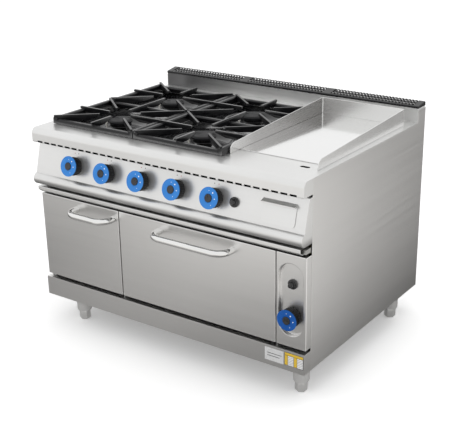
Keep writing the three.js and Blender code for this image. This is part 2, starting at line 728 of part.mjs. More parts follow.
// Tube burner under the sole plate, on two feet.
const burnerTube = 15;
const burnerZ = mouthBottom + 8 + burnerTube;
const ovenMiddle = (mouthLeft + mouthRight) / 2;
const burnerFoot = (y) => block(ovenMiddle - 12, ovenMiddle + 12, y, y + 10,
  mouthBottom + seam, burnerZ);
piece('oven_burner', join([
  rod(burnerTube, [ovenMiddle, carcassFront + 40, burnerZ], [ovenMiddle, ovenBack - 80, burnerZ]),
  burnerFoot(carcassFront + 70), burnerFoot(ovenBack - 120),
]), pipeSteel());

// Wire rack on the middle runners: a square frame, and thinner rods let into its front and rear.
const rackSide = 4;
const rackRods = 11;
const rodThickness = 4;
const rackLeft = mouthLeft + rackSide;
const rackRight = mouthRight - rackSide;
const rackFront = carcassFront + 40;
const rackBack = ovenBack - 20;
const rackBottom = rackZ + seam;
const rackFrame = shell(
  [rackLeft, rackRight, rackFront, rackBack, rackBottom, rackBottom + rackWire],
  [rackLeft + rackWire, rackRight - rackWire, rackFront + rackWire, rackBack - rackWire,
    rackBottom - 5, rackBottom + rackWire + 5]);
const rackPitch = (rackRight - rackLeft) / (rackRods + 1);
piece('oven_rack', join([rackFrame, ...Array.from({ length: rackRods }, (_, i) => {
  const x = rackLeft + (i + 1) * rackPitch;
  return block(x - rodThickness / 2, x + rodThickness / 2, rackFront + 1, rackBack - 1,
    rackBottom + 1, rackBottom + 1 + rodThickness);
})]), polishedSteel());

// Seal rope on the door liner, around the oven mouth.
const sealWidth = 8;
const sealFront = doorThickness + seam;
const sealBack = carcassFront - 1;
const sealLow = hingeZ + 6;
piece('oven_door_gasket', shell(
  [mouthLeft - sealWidth, mouthRight + sealWidth, sealFront, sealBack, sealLow,
    mouthTop + sealWidth],
  [mouthLeft, mouthRight, sealFront - 5, sealBack + 5, sealLow + sealWidth, mouthTop]),
sealRope());

// ---------------------------------------------------------------- hob

const rimTop = deckTop + seam + thinSheet;
const burnerY = (row) => grateFront + (grateRear - grateFront) * (row ? 0.75 : 0.25);

// Burner pan: a shallow enamelled tray with a round bowl pressed into it under each burner.
const panFloor = deckTop - panDepth;
const bowlHole = burnerRadius - 12;
function burnerPan(left) {
  const rim = [left + panEdge, left + grateWidth - panEdge, grateFront + panEdge,
    grateRear - panEdge];
  const [x0, x1, y0, y1] = panOpening(left);
  const wall = [x0 + 1, x1 - 1, y0 + 1, y1 - 1];
  const inside = 1 + thinSheet;
  const hollow = [x0 + inside, x1 - inside, y0 + inside, y1 - inside];
  const tray = block(...rim, deckTop + seam, rimTop)
    .add(block(...wall, panFloor, rimTop))
    .subtract(block(...hollow, panFloor + thinSheet, rimTop + 5));
  const centreX = left + grateWidth / 2;
  const bowlFloor = panFloor - bowlDepth;
  const plugReach = 30;
  const bowlPlug = turned([
    [0, panFloor - plugReach], [bowlRadius, panFloor - plugReach],
    [bowlRadius, panFloor + plugReach], [0, panFloor + plugReach],
  ], 16);
  const bowl = turned([
    [bowlHole, bowlFloor], [bowlRadius - 26, bowlFloor], [bowlRadius - 10, bowlFloor + 8],
    [bowlRadius - 1, panFloor], [bowlRadius + 6, panFloor], [bowlRadius + 3, panFloor + 6],
    [bowlRadius - 3, panFloor + 4], [bowlRadius - 12, bowlFloor + 10],
    [bowlRadius - 27, bowlFloor + thinSheet], [bowlHole, bowlFloor + thinSheet],
    [bowlHole, bowlFloor],
  ], 16);
  const at = (solid, row) => solid.translate([centreX, burnerY(row), 0]);
  return [0, 1].reduce((pan, row) => pan.subtract(at(bowlPlug, row)).add(at(bowl, row)), tray);
}
piece('burner_pan_left', burnerPan(grateLefts[0]), blackEnamel());
piece('burner_pan_right', burnerPan(grateLefts[1]), blackEnamel());

// Burners: a cast body that rises through the bowl, and a loose cap on top of it.
const bodyTop = deckTop - 3;
const burnerBody = turned([
  [0, panFloor - 60], [bowlHole - 8, panFloor - 60], [bowlHole - 3, panFloor - bowlDepth - 6],
  [bowlHole - 3, panFloor - 6], [burnerRadius, panFloor], [burnerRadius, bodyTop], [0, bodyTop],
], 12);
const burnerCap = turned([
  [0, bodyTop + seam], [burnerRadius + 3, bodyTop + seam], [burnerRadius + 3, bodyTop + 6],
  [burnerRadius - 6, bodyTop + 11], [0, bodyTop + 12],
], 12);
const burnerPlaces = [0, 1].flatMap((row) =>
  grateLefts.map((left) => [left + grateWidth / 2, burnerY(row), 0]));
burnerPlaces.forEach((place, i) => {
  piece(`burner_body_${i + 1}`, burnerBody, castIron(), place);
  piece(`burner_cap_${i + 1}`, burnerCap, blackEnamel(), place);
});

// Grate: one casting of a frame, a middle bar and eight ribs that point at each burner.
function grate(left, leftHorn) {
  const low = rimTop + seam;
  const right = left + grateWidth;
  const centreX = (left + right) / 2;
  const cellHalf = (grateRear - grateFront) / 4;
  const middle = (grateFront + grateRear) / 2;
  const shoulder = 4;
  const barSection = (from, high) => [
    [from, low], [from + grateBar, low], [from + grateBar, low + high - shoulder],
    [from + grateBar - shoulder, low + high], [from + shoulder, low + high],
    [from, low + high - shoulder],
  ];
  const crossBar = (y) => alongX(barSection(y, barLow), left, right);
  const sideBar = (x) => alongY(asShape(barSection(x, sideBarHigh)), grateFront, grateRear);
  const rib = (centreY, degrees, tip, reach) => {
    const top = low + ribTop;
    const facesLeft = Math.cos(THREE.MathUtils.degToRad(degrees)) < -0.5;
    const end = reach + (facesLeft ? leftHorn : shortHorn);
    const shape = asShape([
      [tip, top], [tip, top - 9], [tip + 45, top - 22], [reach - 4, top - 24],
      [reach - 4, top - 10], [end, top - 8], [end, top - 1.5], [end - 2, top],
    ]);
    const geometry = extrude(shape, ribThickness);
    geometry.translate(0, 0, -ribThickness / 2);
    geometry.rotateX(Math.PI / 2);
    geometry.rotateZ(THREE.MathUtils.degToRad(degrees));
    geometry.translate(centreX, centreY, 0);
    return solidFrom(geometry);
  };
  const cornerDistance = Math.hypot(grateWidth / 2, cellHalf) - grateBar / 2;
  const cornerDegrees = THREE.MathUtils.radToDeg(Math.atan2(cellHalf, grateWidth / 2));
  const ribs = [0, 1].flatMap((row) => {
    const y = burnerY(row);
    const straight = [
      [0, grateWidth / 2], [180, grateWidth / 2], [90, row ? cellHalf : cellHalf - 1],
      [270, row ? cellHalf - 1 : cellHalf],
    ].map(([degrees, reach]) => rib(y, degrees, fingerTip, reach));
    const diagonal = [cornerDegrees, 180 - cornerDegrees, 180 + cornerDegrees, -cornerDegrees]
      .map((degrees) => rib(y, degrees, diagonalTip, cornerDistance));
    return [...straight, ...diagonal];
  });
  const middleBar = crossBar(middle - grateBar / 2);
  return join([
    crossBar(grateFront), crossBar(grateRear - grateBar), middleBar,
    sideBar(left), sideBar(right - grateBar), ...ribs,
  ]);
}
piece('grate_left', grate(grateLefts[0], horn), castIron());
piece('grate_right', grate(grateLefts[1], shortHorn), castIron());

// ---------------------------------------------------------------- griddle

// Plate: its lip rests on the top and its thick middle drops through the opening.
const plateBody = block(plateLeft + griddleLip + 1, plateRight - griddleLip - 1,
  griddleFront + griddleLip + 1, plateRear - griddleLip - 1,
  deckTop + griddleRaise - griddleThickness, deckTop + griddleRaise);
piece('griddle_plate', plateBody.add(block(plateLeft, plateRight, griddleFront, plateRear,
  deckTop + seam, deckTop + griddleRaise)), polishedSteel());

// Splash guard: one sheet folded round the rear and both sides of the plate.
const guardZ = deckTop + seam;
const guardSide = [
  [guardFront, guardZ], [guardBack, guardZ], [guardBack, deckTop + guardHeight],
  [guardFront + guardShoulder, deckTop + guardShoulder],
  [guardFront + 14, deckTop + guardShoulder - 4],
  [guardFront + 4, deckTop + guardFrontHeight + 4], [guardFront, deckTop + guardFrontHeight - 8],
];
piece('griddle_splash_guard', join([
  alongX(guardSide, guardLeft, guardLeft + guardSheet),
  alongX(guardSide, guardRight - guardSheet, guardRight),
  block(guardLeft, guardRight, guardBack - guardSheet, guardBack, guardZ, deckTop + guardHeight),
]), brushedSteel());

// Griddle burner: two tubes joined across the front.
const tubeRadius = 12;
const tubeZ = deckTop - 55;
const tubeXs = [plateLeft + 70, plateRight - 70];
const tubeFront = griddleFront + 50;
const tubeRear = plateRear - 60;
piece('griddle_burner', join([
  ...tubeXs.map((x) => rod(tubeRadius, [x, tubeFront, tubeZ], [x, tubeRear, tubeZ], 10)),
  rod(tubeRadius, [tubeXs[0], tubeFront + 16, tubeZ], [tubeXs[1], tubeFront + 16, tubeZ], 10),
]), pipeSteel());

// ---------------------------------------------------------------- gas pipes

// Gas rail behind the control panel, with one tap body in front of it for each knob.
const railY = 62;
const railRadius = 13;
const tapHalf = 14;
const tapFront = controlY + tapDepth + 14;
const railFrom = knobXs[0] - 40;
const railTo = knobXs[knobCount - 1] + 40;
piece('gas_rail', join([
  rod(railRadius, [railFrom, railY, controlZ], [railTo, railY, controlZ]),
  ...knobXs.map((x) => block(x - tapHalf, x + tapHalf, tapFront, railY, controlZ - tapHalf - 6,
    controlZ + tapHalf - 6)),
]), pipeSteel());

// Supply pipe: from the rail down, across to the right side and out through the back panel.
const pipeStart = railTo + seam;
const dropX = pipeStart + 40;
piece('gas_supply_pipe', bentRod(pipeRadius, [
  [pipeStart, railY, controlZ], [pipeStart + 20, railY, controlZ], [dropX - 6, railY, controlZ - 8],
  [dropX, railY, controlZ - 30], [dropX + 8, railY, pipeZ + 8], [dropX + 30, railY, pipeZ],
  [dropX + 70, railY, pipeZ], [pipeExitX - 40, railY, pipeZ], [pipeExitX - 10, railY + 10, pipeZ],
  [pipeExitX, railY + 40, pipeZ], [pipeExitX, railY + 90, pipeZ], [pipeExitX, backY - 90, pipeZ],
  [pipeExitX, backY - seam, pipeZ],
], 36, 8), pipeSteel());

// ---------------------------------------------------------------- flue

// Riser: a flat duct that rises behind the top and leads the flue gas to the grille.
const riserBottom = deckTop - 90;
piece('flue_riser', shell(
  [-innerHalf, innerHalf, riserFront, backY - sheet - seam, riserBottom, riserTop],
  [-innerHalf + thinSheet, innerHalf - thinSheet, riserFront + thinSheet,
    backY - sheet - seam - thinSheet, riserBottom - 5, riserTop + 5]), brushedSteel());

// Grille: an enamelled hood on the riser. Three groups of slots run across its top and
// through its rear edge.
const grilleBottom = riserTop + seam;
const grilleTop = riserTop + grilleHeight;
const grilleFront = riserFront - 3;
const hood = (inset) => [
  [grilleFront + inset, grilleBottom - inset], [grilleFront + inset, grilleBottom + 8],
  [grilleFront + 6 + inset / 2, grilleTop - 5 - inset / 2], [grilleFront + 18, grilleTop - inset],
  [backY - 10, grilleTop - inset], [backY - inset, grilleTop - 7],
  [backY - inset, grilleBottom - inset],
];
const grilleGroups = 3;
const groupGap = 20;
const grilleMargin = 22;
const ventPitch = 14;
const ventWidth = 7;
const groupSpan = (width - 2 * grilleMargin - (grilleGroups - 1) * groupGap) / grilleGroups;
const ventCount = Math.floor((groupSpan - ventWidth) / ventPitch);
const vents = Array.from({ length: grilleGroups }, (_, group) => {
  const start = -half + grilleMargin + group * (groupSpan + groupGap)
    + (groupSpan - (ventCount - 1) * ventPitch - ventWidth) / 2;
  return Array.from({ length: ventCount }, (__, i) => block(start + i * ventPitch,
    start + i * ventPitch + ventWidth, grilleFront + 14, backY + 5, grilleTop - 6,
    grilleTop + 5));
}).flat();
const grilleWall = 2;
piece('flue_grille', alongX(hood(0), -half + 1, half - 1)
  .subtract(alongX(hood(grilleWall), -half + 1 + grilleWall, half - 1 - grilleWall))
  .subtract(join(vents)), blackEnamel());

// ---------------------------------------------------------------- origin

// The handles reach furthest forward and the back panel furthest back.
const frontReach = -handleReach - handleRadius;
range.position.y = -(frontReach + backY) / 2;

export default range;
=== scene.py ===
import json
from math import atan2, cos, hypot, pi, radians, sin

import bmesh
import bpy
from mathutils import Matrix, Vector

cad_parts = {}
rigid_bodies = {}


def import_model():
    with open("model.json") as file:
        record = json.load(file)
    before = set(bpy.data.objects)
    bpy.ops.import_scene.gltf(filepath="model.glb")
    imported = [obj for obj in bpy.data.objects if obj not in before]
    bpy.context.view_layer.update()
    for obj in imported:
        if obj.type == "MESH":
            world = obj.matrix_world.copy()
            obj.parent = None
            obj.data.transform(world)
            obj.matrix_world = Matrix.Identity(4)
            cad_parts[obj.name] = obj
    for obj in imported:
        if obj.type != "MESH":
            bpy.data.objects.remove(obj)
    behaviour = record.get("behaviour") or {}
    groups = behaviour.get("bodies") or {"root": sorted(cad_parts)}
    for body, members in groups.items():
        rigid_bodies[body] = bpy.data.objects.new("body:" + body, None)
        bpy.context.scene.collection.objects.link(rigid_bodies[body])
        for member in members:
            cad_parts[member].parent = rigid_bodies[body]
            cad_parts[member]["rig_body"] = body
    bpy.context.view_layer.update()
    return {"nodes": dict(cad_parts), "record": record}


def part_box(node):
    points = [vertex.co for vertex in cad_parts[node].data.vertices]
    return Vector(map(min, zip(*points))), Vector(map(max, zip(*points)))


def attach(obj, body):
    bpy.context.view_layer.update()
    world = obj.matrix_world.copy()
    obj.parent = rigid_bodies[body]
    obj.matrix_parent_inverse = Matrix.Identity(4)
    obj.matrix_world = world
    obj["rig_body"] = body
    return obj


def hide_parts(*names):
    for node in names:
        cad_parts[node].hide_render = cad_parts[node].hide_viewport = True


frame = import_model()
nodes = frame["nodes"]
body = "range_body"

# ------------------------------------------------------------------ camera and studio
# A pale floor and soft light from all round, with one large lamp at the front left and one
# overhead. The camera stands to the front right, at the eye height of a tall person.

camera_place = Vector((2.0792, -2.8900, 1.7955))
camera_heading, camera_pitch, camera_roll = radians(-35.22), radians(21.27), radians(-0.92)
ahead = Vector((sin(camera_heading) * cos(camera_pitch),
                cos(camera_heading) * cos(camera_pitch), -sin(camera_pitch)))
level = Vector((cos(camera_heading), -sin(camera_heading), 0))
upright = level.cross(ahead)
camera_right = level * cos(camera_roll) + upright * sin(camera_roll)
camera_up = upright * cos(camera_roll) - level * sin(camera_roll)
turn = Matrix((camera_right, camera_up, -ahead)).transposed().to_4x4()

camera_data = bpy.data.cameras.new("camera")
camera_data.lens = 74.72
camera_data.sensor_width = 36
camera = bpy.data.objects.new("camera", camera_data)
camera.matrix_world = Matrix.Translation(camera_place) @ turn
bpy.context.scene.collection.objects.link(camera)
bpy.context.scene.camera = camera
bpy.context.scene.view_settings.view_transform = "Standard"

world = bpy.data.worlds.new("studio")
world.use_nodes = True
world.node_tree.nodes["Background"].inputs["Color"].default_value = (1.0, 1.0, 1.0, 1)
world.node_tree.nodes["Background"].inputs["Strength"].default_value = 1.0
bpy.context.scene.world = world


def lamp(name, place, target, size, watts):
    data = bpy.data.lights.new(name, "AREA")
    data.shape = "RECTANGLE"
    data.size, data.size_y = size
    data.energy = watts
    light = bpy.data.objects.new(name, data)
    away = Vector(place) - Vector(target)
    light.matrix_world = Matrix.Translation(place) @ away.to_track_quat("Z", "Y").to_matrix().to_4x4()
    light.visible_glossy = False
    bpy.context.scene.collection.objects.link(light)


lamp("key", (-2.2, -3.0, 3.4), (0, 0, 0.6), (2.8, 2.2), 16)
lamp("top", (0.4, 0.3, 3.6), (0, 0, 0.8), (2.4, 2.4), 20)


def stage_sheet(name, half_size, height, material):
    bm = bmesh.new()
    bmesh.ops.create_grid(bm, x_segments=1, y_segments=1, size=half_size)
    bmesh.ops.translate(bm, vec=(0, 0, height), verts=bm.verts)
    mesh = bpy.data.meshes.new(name)
    bm.to_mesh(mesh)
    bm.free()
    mesh.materials.append(material)
    sheet = bpy.data.objects.new(name, mesh)
    bpy.context.scene.collection.objects.link(sheet)
    return sheet


floor_paint = bpy.data.materials.new("floor_paint")
floor_paint.use_nodes = True
floor_shader = floor_paint.node_tree.nodes["Principled BSDF"]
floor_shader.inputs["Base Color"].default_value = (0.90, 0.90, 0.90, 1)
floor_shader.inputs["Emission Color"].default_value = (1.0, 1.0, 1.0, 1)
floor_shader.inputs["Emission Strength"].default_value = 0.22
floor_shader.inputs["Roughness"].default_value = 0.9
floor_shader.inputs["Specular IOR Level"].default_value = 0.1
stage_sheet("floor", 30, -0.0005, floor_paint)

# This card lies on the floor and shows only in reflections. It gives the steel its dark and bright bands.
# Its levels were set one by one and are not those of a plain floor: dim close to the range on the left
# and in front, bright to the right and far out.
card_paint = bpy.data.materials.new("card_paint")
card_paint.use_nodes = True
card_tree = card_paint.node_tree
card_tree.nodes.clear()


def card_sum(operation, value, *sources):
    node = card_tree.nodes.new("ShaderNodeMath")
    node.operation = operation
    node.inputs[1].default_value = value
    for socket, source in zip(node.inputs, sources):
        card_tree.links.new(source, socket)
    return node.outputs["Value"]


card_place = card_tree.nodes.new("ShaderNodeTexCoord")
card_axes = card_tree.nodes.new("ShaderNodeSeparateXYZ")
card_tree.links.new(card_place.outputs["Object"], card_axes.inputs["Vector"])
card_across = card_sum("ADD", 0.5, card_sum("MULTIPLY", 0.25, card_axes.outputs["X"]))
card_sides = card_tree.nodes.new("ShaderNodeValToRGB")
card_tree.links.new(card_across, card_sides.inputs["Fac"])
card_stops = card_sides.color_ramp.elements
for x, glow in ((-1.9, 0.10), (-1.6, 0.11), (-1.4, 0.12), (-1.0, 0.145), (-0.8, 0.18), (-0.5, 0.20),
                (-0.2, 0.20), (0.0, 0.175), (0.25, 0.15), (0.5, 0.14), (0.7, 0.16), (0.84, 0.33),
                (1.02, 0.64), (1.25, 1.15), (1.55, 2.2), (1.76, 3.4), (1.95, 4.0)):
    stop = card_stops.new(x / 4 + 0.5)
    stop.color = (glow / 4, glow / 4, glow / 4, 1)
card_stops.remove(card_stops[-1])
card_stops.remove(card_stops[0])
card_ahead = card_sum("EXPONENT", 0.0, card_sum("MULTIPLY", -0.88, card_axes.outputs["Y"]))
card_near = card_sum("MULTIPLY", 4.0, card_sum("MULTIPLY", 1.0, card_ahead,
                                              card_sides.outputs["Color"]))
card_distance = card_tree.nodes.new("ShaderNodeVectorMath")
card_distance.operation = "LENGTH"
card_tree.links.new(card_place.outputs["Object"], card_distance.inputs[0])
card_far = card_tree.nodes.new("ShaderNodeMapRange")
card_far.interpolation_type = "SMOOTHSTEP"
card_far.inputs["From Min"].default_value = 3.2
card_far.inputs["From Max"].default_value = 9.0
card_far.inputs["To Min"].default_value = 0.01
card_tree.links.new(card_distance.outputs["Value"], card_far.inputs["Value"])
card_level = card_sum("MINIMUM", 1.0, card_sum("ADD", 0.0, card_near, card_far.outputs["Result"]))
card_glow = card_tree.nodes.new("ShaderNodeEmission")
card_glow.inputs["Color"].default_value = (1.0, 0.985, 0.965, 1)
card_out = card_tree.nodes.new("ShaderNodeOutputMaterial")
card_tree.links.new(card_level, card_glow.inputs["Strength"])
card_tree.links.new(card_glow.outputs["Emission"], card_out.inputs["Surface"])
card = stage_sheet("mirror_card", 30, 0.0, card_paint)
card.visible_camera = False
card.visible_diffuse = False
card.visible_shadow = False
card.visible_transmission = False

# ------------------------------------------------------------------ casing steel
# Side panels, back, base tray, kick plate and riser: brushed stainless sheet, folded on a
# press brake and spot welded. Their folded edges are slightly rounded.


def shader_group(name, inputs, outputs):
    group = bpy.data.node_groups.new(name, "ShaderNodeTree")
    for label, kind, value in inputs:
        socket = group.interface.new_socket(label, in_out="INPUT", socket_type=kind)
        socket.default_value = value
    for label, kind in outputs:
        group.interface.new_socket(label, in_out="OUTPUT", socket_type=kind)
    return group, group.nodes.new("NodeGroupInput"), group.nodes.new("NodeGroupOutput")


def add_node(tree, kind, **settings):
    node = tree.nodes.new(kind)
    for key, value in settings.items():
        if key in node.inputs:
            node.inputs[key].default_value = value
        else:
            setattr(node, key, value)
    return node


def brushed_grain_group():
    """Long fine scratches of a brushed sheet. Stretch is small along the grain."""
    group, given, result = shader_group(
        "brushed_grain",
        [("Vector", "NodeSocketVector", (0, 0, 0)), ("Stretch", "NodeSocketVector", (4, 900, 900))],
        [("Scratch", "NodeSocketFloat"), ("Streak", "NodeSocketFloat")])
    fine_map = add_node(group, "ShaderNodeVectorMath", operation="MULTIPLY")
    fine = add_node(group, "ShaderNodeTexNoise", Scale=1.0, Detail=3.0, Roughness=0.6)
    wide_map = add_node(group, "ShaderNodeVectorMath", operation="SCALE")
    wide_map.inputs["Scale"].default_value = 0.12
    wide = add_node(group, "ShaderNodeTexNoise", Scale=1.0, Detail=2.0, Roughness=0.5)
    link = group.links.new
    link(given.outputs["Vector"], fine_map.inputs[0])
    link(given.outputs["Stretch"], fine_map.inputs[1])
    link(fine_map.outputs["Vector"], fine.inputs["Vector"])
    link(fine_map.outputs["Vector"], wide_map.inputs[0])
    link(wide_map.outputs["Vector"], wide.inputs["Vector"])
    link(fine.outputs["Fac"], result.inputs["Scratch"])
    link(wide.outputs["Fac"], result.inputs["Streak"])
    return group


def cloudy_group():
    """Soft uneven patches, as left by wiping, heat or handling."""
    group, given, result = shader_group(
        "wiped_patches",
        [("Vector", "NodeSocketVector", (0, 0, 0)), ("Scale", "NodeSocketFloat", 4.0),
         ("Contrast", "NodeSocketFloat", 0.5)],
        [("Mask", "NodeSocketFloat")])
    noise = add_node(group, "ShaderNodeTexNoise", Detail=4.0, Roughness=0.55, Distortion=0.4)
    spread = add_node(group, "ShaderNodeMapRange", clamp=True)
    low = add_node(group, "ShaderNodeMath", operation="MULTIPLY")
    low.inputs[1].default_value = 0.45
    high = add_node(group, "ShaderNodeMath", operation="SUBTRACT")
    high.inputs[0].default_value = 1.0
    link = group.links.new
    link(given.outputs["Vector"], noise.inputs["Vector"])
    link(given.outputs["Scale"], noise.inputs["Scale"])
    link(given.outputs["Contrast"], low.inputs[0])
    link(low.outputs["Value"], high.inputs[1])
    link(noise.outputs["Fac"], spread.inputs["Value"])
    link(low.outputs["Value"], spread.inputs["From Min"])
    link(high.outputs["Value"], spread.inputs["From Max"])
    link(spread.outputs["Result"], result.inputs["Mask"])
    return group


brushed_grain = brushed_grain_group()
wiped_patches = cloudy_group()
ALONG = {"x": (5, 700, 700), "y": (700, 5, 700), "z": (700, 700, 5)}


def metal(name, light, dark, roughness, grain="x", scratch=0.05, metallic=1.0):
    """Brushed or polished metal: light and dark are its colours where wiped and where dull."""
    paint = bpy.data.materials.new(name)
    paint.use_nodes = True
    tree = paint.node_tree
    link = tree.links.new
    shader = tree.nodes["Principled BSDF"]
    shader.inputs["Metallic"].default_value = metallic
    place = add_node(tree, "ShaderNodeTexCoord")
    grain_node = add_node(tree, "ShaderNodeGroup", node_tree=brushed_grain)
    grain_node.inputs["Stretch"].default_value = ALONG[grain]
    patch = add_node(tree, "ShaderNodeGroup", node_tree=wiped_patches)
    patch.inputs["Scale"].default_value = 3.2
    patch.inputs["Contrast"].default_value = 0.6
    colour = add_node(tree, "ShaderNodeMix", data_type="RGBA")
    colour.inputs["A"].default_value = (*dark, 1)
    colour.inputs["B"].default_value = (*light, 1)
    mixed = add_node(tree, "ShaderNodeMath", operation="MULTIPLY_ADD")
    mixed.inputs[1].default_value = 0.5
    gloss = add_node(tree, "ShaderNodeMapRange")
    gloss.inputs["To Min"].default_value = roughness - 0.05
    gloss.inputs["To Max"].default_value = roughness + 0.06
    relief = add_node(tree, "ShaderNodeBump", Strength=scratch, Distance=0.0003)
    link(place.outputs["Object"], grain_node.inputs["Vector"])
    link(place.outputs["Object"], patch.inputs["Vector"])
    link(patch.outputs["Mask"], mixed.inputs[0])
    half_streak = add_node(tree, "ShaderNodeMath", operation="MULTIPLY")
    half_streak.inputs[1].default_value = 0.5
    link(grain_node.outputs["Streak"], half_streak.inputs[0])
    link(half_streak.outputs["Value"], mixed.inputs[2])
    link(mixed.outputs["Value"], colour.inputs["Factor"])
    link(colour.outputs["Result"], shader.inputs["Base Color"])
    link(grain_node.outputs["Streak"], gloss.inputs["Value"])
    link(gloss.outputs["Result"], shader.inputs["Roughness"])
    link(grain_node.outputs["Scratch"], relief.inputs["Height"])
    link(relief.outputs["Normal"], shader.inputs["Normal"])
    return paint


def shaded_along(paint, axis, stops):
    """Multiplies a finish by set tones along one axis, to stand in for what the steel mirrors.

    The real sheet is one colour all over: without this step the piece has its plain finish.
    """
    tree = paint.node_tree
    shader = tree.nodes["Principled BSDF"]
    base = shader.inputs["Base Color"].links[0].from_socket
    place = add_node(tree, "ShaderNodeTexCoord")
    axes = add_node(tree, "ShaderNodeSeparateXYZ")
    along = add_node(tree, "ShaderNodeMapRange", clamp=True)
    along.inputs["From Min"].default_value = stops[0][0]
    along.inputs["From Max"].default_value = stops[-1][0]
    ramp = add_node(tree, "ShaderNodeValToRGB")
    ramp.color_ramp.interpolation = "B_SPLINE"
    while len(ramp.color_ramp.elements) < len(stops):
        ramp.color_ramp.elements.new(0.5)
    for element, (position, tone) in zip(ramp.color_ramp.elements, stops):
        element.position = (position - stops[0][0]) / (stops[-1][0] - stops[0][0])
        element.color = (*tone, 1)
    tint = add_node(tree, "ShaderNodeMix", data_type="RGBA", blend_type="MULTIPLY")
    tint.inputs["Factor"].default_value = 1.0
    tree.links.new(place.outputs["Object"], axes.inputs["Vector"])
    tree.links.new(axes.outputs[axis], along.inputs["Value"])
    tree.links.new(along.outputs["Result"], ramp.inputs["Fac"])
    tree.links.new(base, tint.inputs["A"])
    tree.links.new(ramp.outputs["Color"], tint.inputs["B"])
    tree.links.new(tint.outputs["Result"], shader.inputs["Base Color"])
    return paint


front_steel = metal("front_steel", (0.80, 0.795, 0.785), (0.75, 0.745, 0.735), 0.32, "x", 0.03)
side_steel = metal("side_steel", (0.80, 0.795, 0.785), (0.76, 0.755, 0.745), 0.34, "y", 0.02)
top_steel = metal("top_steel", (0.78, 0.78, 0.775), (0.72, 0.72, 0.71), 0.30, "x", 0.03, 0.85)
inner_steel = metal("inner_steel", (0.50, 0.50, 0.49), (0.40, 0.40, 0.39), 0.38, "x")
polished_steel = metal("polished_steel", (0.84, 0.84, 0.83), (0.78, 0.78, 0.77), 0.11, "x", 0.01)


def link_piece(name, mesh):
    piece = bpy.data.objects.new(name, mesh)
    bpy.context.scene.collection.objects.link(piece)
    return piece


def apply_modifiers(piece):
    bpy.context.view_layer.update()
    shaped = piece.evaluated_get(bpy.context.evaluated_depsgraph_get())
    mesh = bpy.data.meshes.new_from_object(shaped)
    old = piece.data
    piece.modifiers.clear()
    piece.data = mesh
    bpy.data.meshes.remove(old)
    mesh.name = piece.name
    return mesh


def settle(piece, smooth_below=38):
    """Applies the modifiers of a piece. Bends shade smoothly, and flat faces stay flat."""
    mesh = apply_modifiers(piece)
    if "custom_normal" in mesh.attributes:
        mesh.attributes.remove(mesh.attributes["custom_normal"])
    mesh.shade_smooth()
    mesh.set_sharp_from_angle(angle=radians(smooth_below))
    even = piece.modifiers.new("flat_faces", "WEIGHTED_NORMAL")
    even.keep_sharp = True
    even.weight = 100
    apply_modifiers(piece)
    return piece


def round_edges(piece, radius, segments=2, angle=40):
    bevel = piece.modifiers.new("rounded_edges", "BEVEL")
    bevel.width = radius
    bevel.segments = segments
    bevel.profile = 0.5
    bevel.limit_method = "ANGLE"
    bevel.angle_limit = radians(angle)
    bevel.use_clamp_overlap = True
    return settle(piece)


def softened(node, paint, radius, segments=2):
    """A copy of a CAD node with its folded edges rounded, standing for that node."""
    bm = bmesh.new()
    bm.from_mesh(nodes[node].data)
    bmesh.ops.remove_doubles(bm, verts=bm.verts, dist=1e-6)
    bmesh.ops.dissolve_limit(bm, angle_limit=radians(2), verts=bm.verts, edges=bm.edges)
    mesh = bpy.data.meshes.new(node + "_finished")
    bm.to_mesh(mesh)
    bm.free()
    mesh.materials.append(paint)
    piece = link_piece(node + "_finished", mesh)
    round_edges(piece, radius, segments)
    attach(piece, nodes[node]["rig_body"])
    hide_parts(node)
    return piece


# The riser's left end has a painted dark reflection: its colour darkens towards the left.
riser_steel_painted_reflection = shaded_along(
    metal("riser_steel_painted_reflection", (0.84, 0.84, 0.835), (0.79, 0.79, 0.78), 0.30, "x", 0.02, 0.75), "X",
    ((-0.60, (0.13, 0.13, 0.135)), (-0.45, (0.20, 0.20, 0.205)), (-0.28, (0.55, 0.55, 0.55)),
     (-0.14, (0.95, 0.95, 0.945)), (0.1, (1.0, 1.0, 1.0)), (0.6, (1.0, 1.0, 1.0))))

for node, paint, radius in (
        ("side_panel_left", side_steel, 0.0006), ("side_panel_right", side_steel, 0.0006),
        ("back_panel", side_steel, 0.0005), ("base_tray", inner_steel, 0.0006),
        ("kick_plate", front_steel, 0.0007), ("flue_riser", riser_steel_painted_reflection, 0.0006)):
    softened(node, paint, radius)

# ------------------------------------------------------------------ top
# The top is one sheet with a large rounded nose. Two openings take the burner pans, one takes
# the griddle plate, an oval hole drains the griddle, and slots cool the control panel.


def arc(centre_u, centre_v, radius, start, end, steps):
    return [(centre_u + radius * cos(radians(start + (end - start) * i / steps)),
             centre_v + radius * sin(radians(start + (end - start) * i / steps)))
            for i in range(steps + 1)]


def drawn(bm, outline, left, right):
    """A closed outline in Y and Z, drawn out along X."""
    face = bm.faces.new([bm.verts.new((left, y, z)) for y, z in outline])
    grown = bmesh.ops.extrude_face_region(bm, geom=[face])["geom"]
    new_verts = [part for part in grown if isinstance(part, bmesh.types.BMVert)]
    bmesh.ops.translate(bm, vec=(right - left, 0, 0), verts=new_verts)


def brick(bm, low, high):
    made = bmesh.ops.create_cube(bm, size=1)["verts"]
    size = Vector(high) - Vector(low)
    bmesh.ops.scale(bm, vec=size, verts=made)
    bmesh.ops.translate(bm, vec=(Vector(high) + Vector(low)) / 2, verts=made)
    return made


def closed_piece(name, bm, paint):
    bmesh.ops.recalc_face_normals(bm, faces=bm.faces)
    mesh = bpy.data.meshes.new(name)
    bm.to_mesh(mesh)
    bm.free()
    mesh.materials.append(paint)
    return link_piece(name, mesh)


def shape_with(piece, tool_bm, operation="DIFFERENCE"):
    """Cuts a tool shape out of a piece, or joins it on."""
    tool = closed_piece("tool", tool_bm, piece.data.materials[0])
    change = piece.modifiers.new("tool", "BOOLEAN")
    change.operation = operation
    change.solver = "EXACT"
    change.object = tool
    settle(piece)
    bpy.data.meshes.remove(tool.data)
    return piece


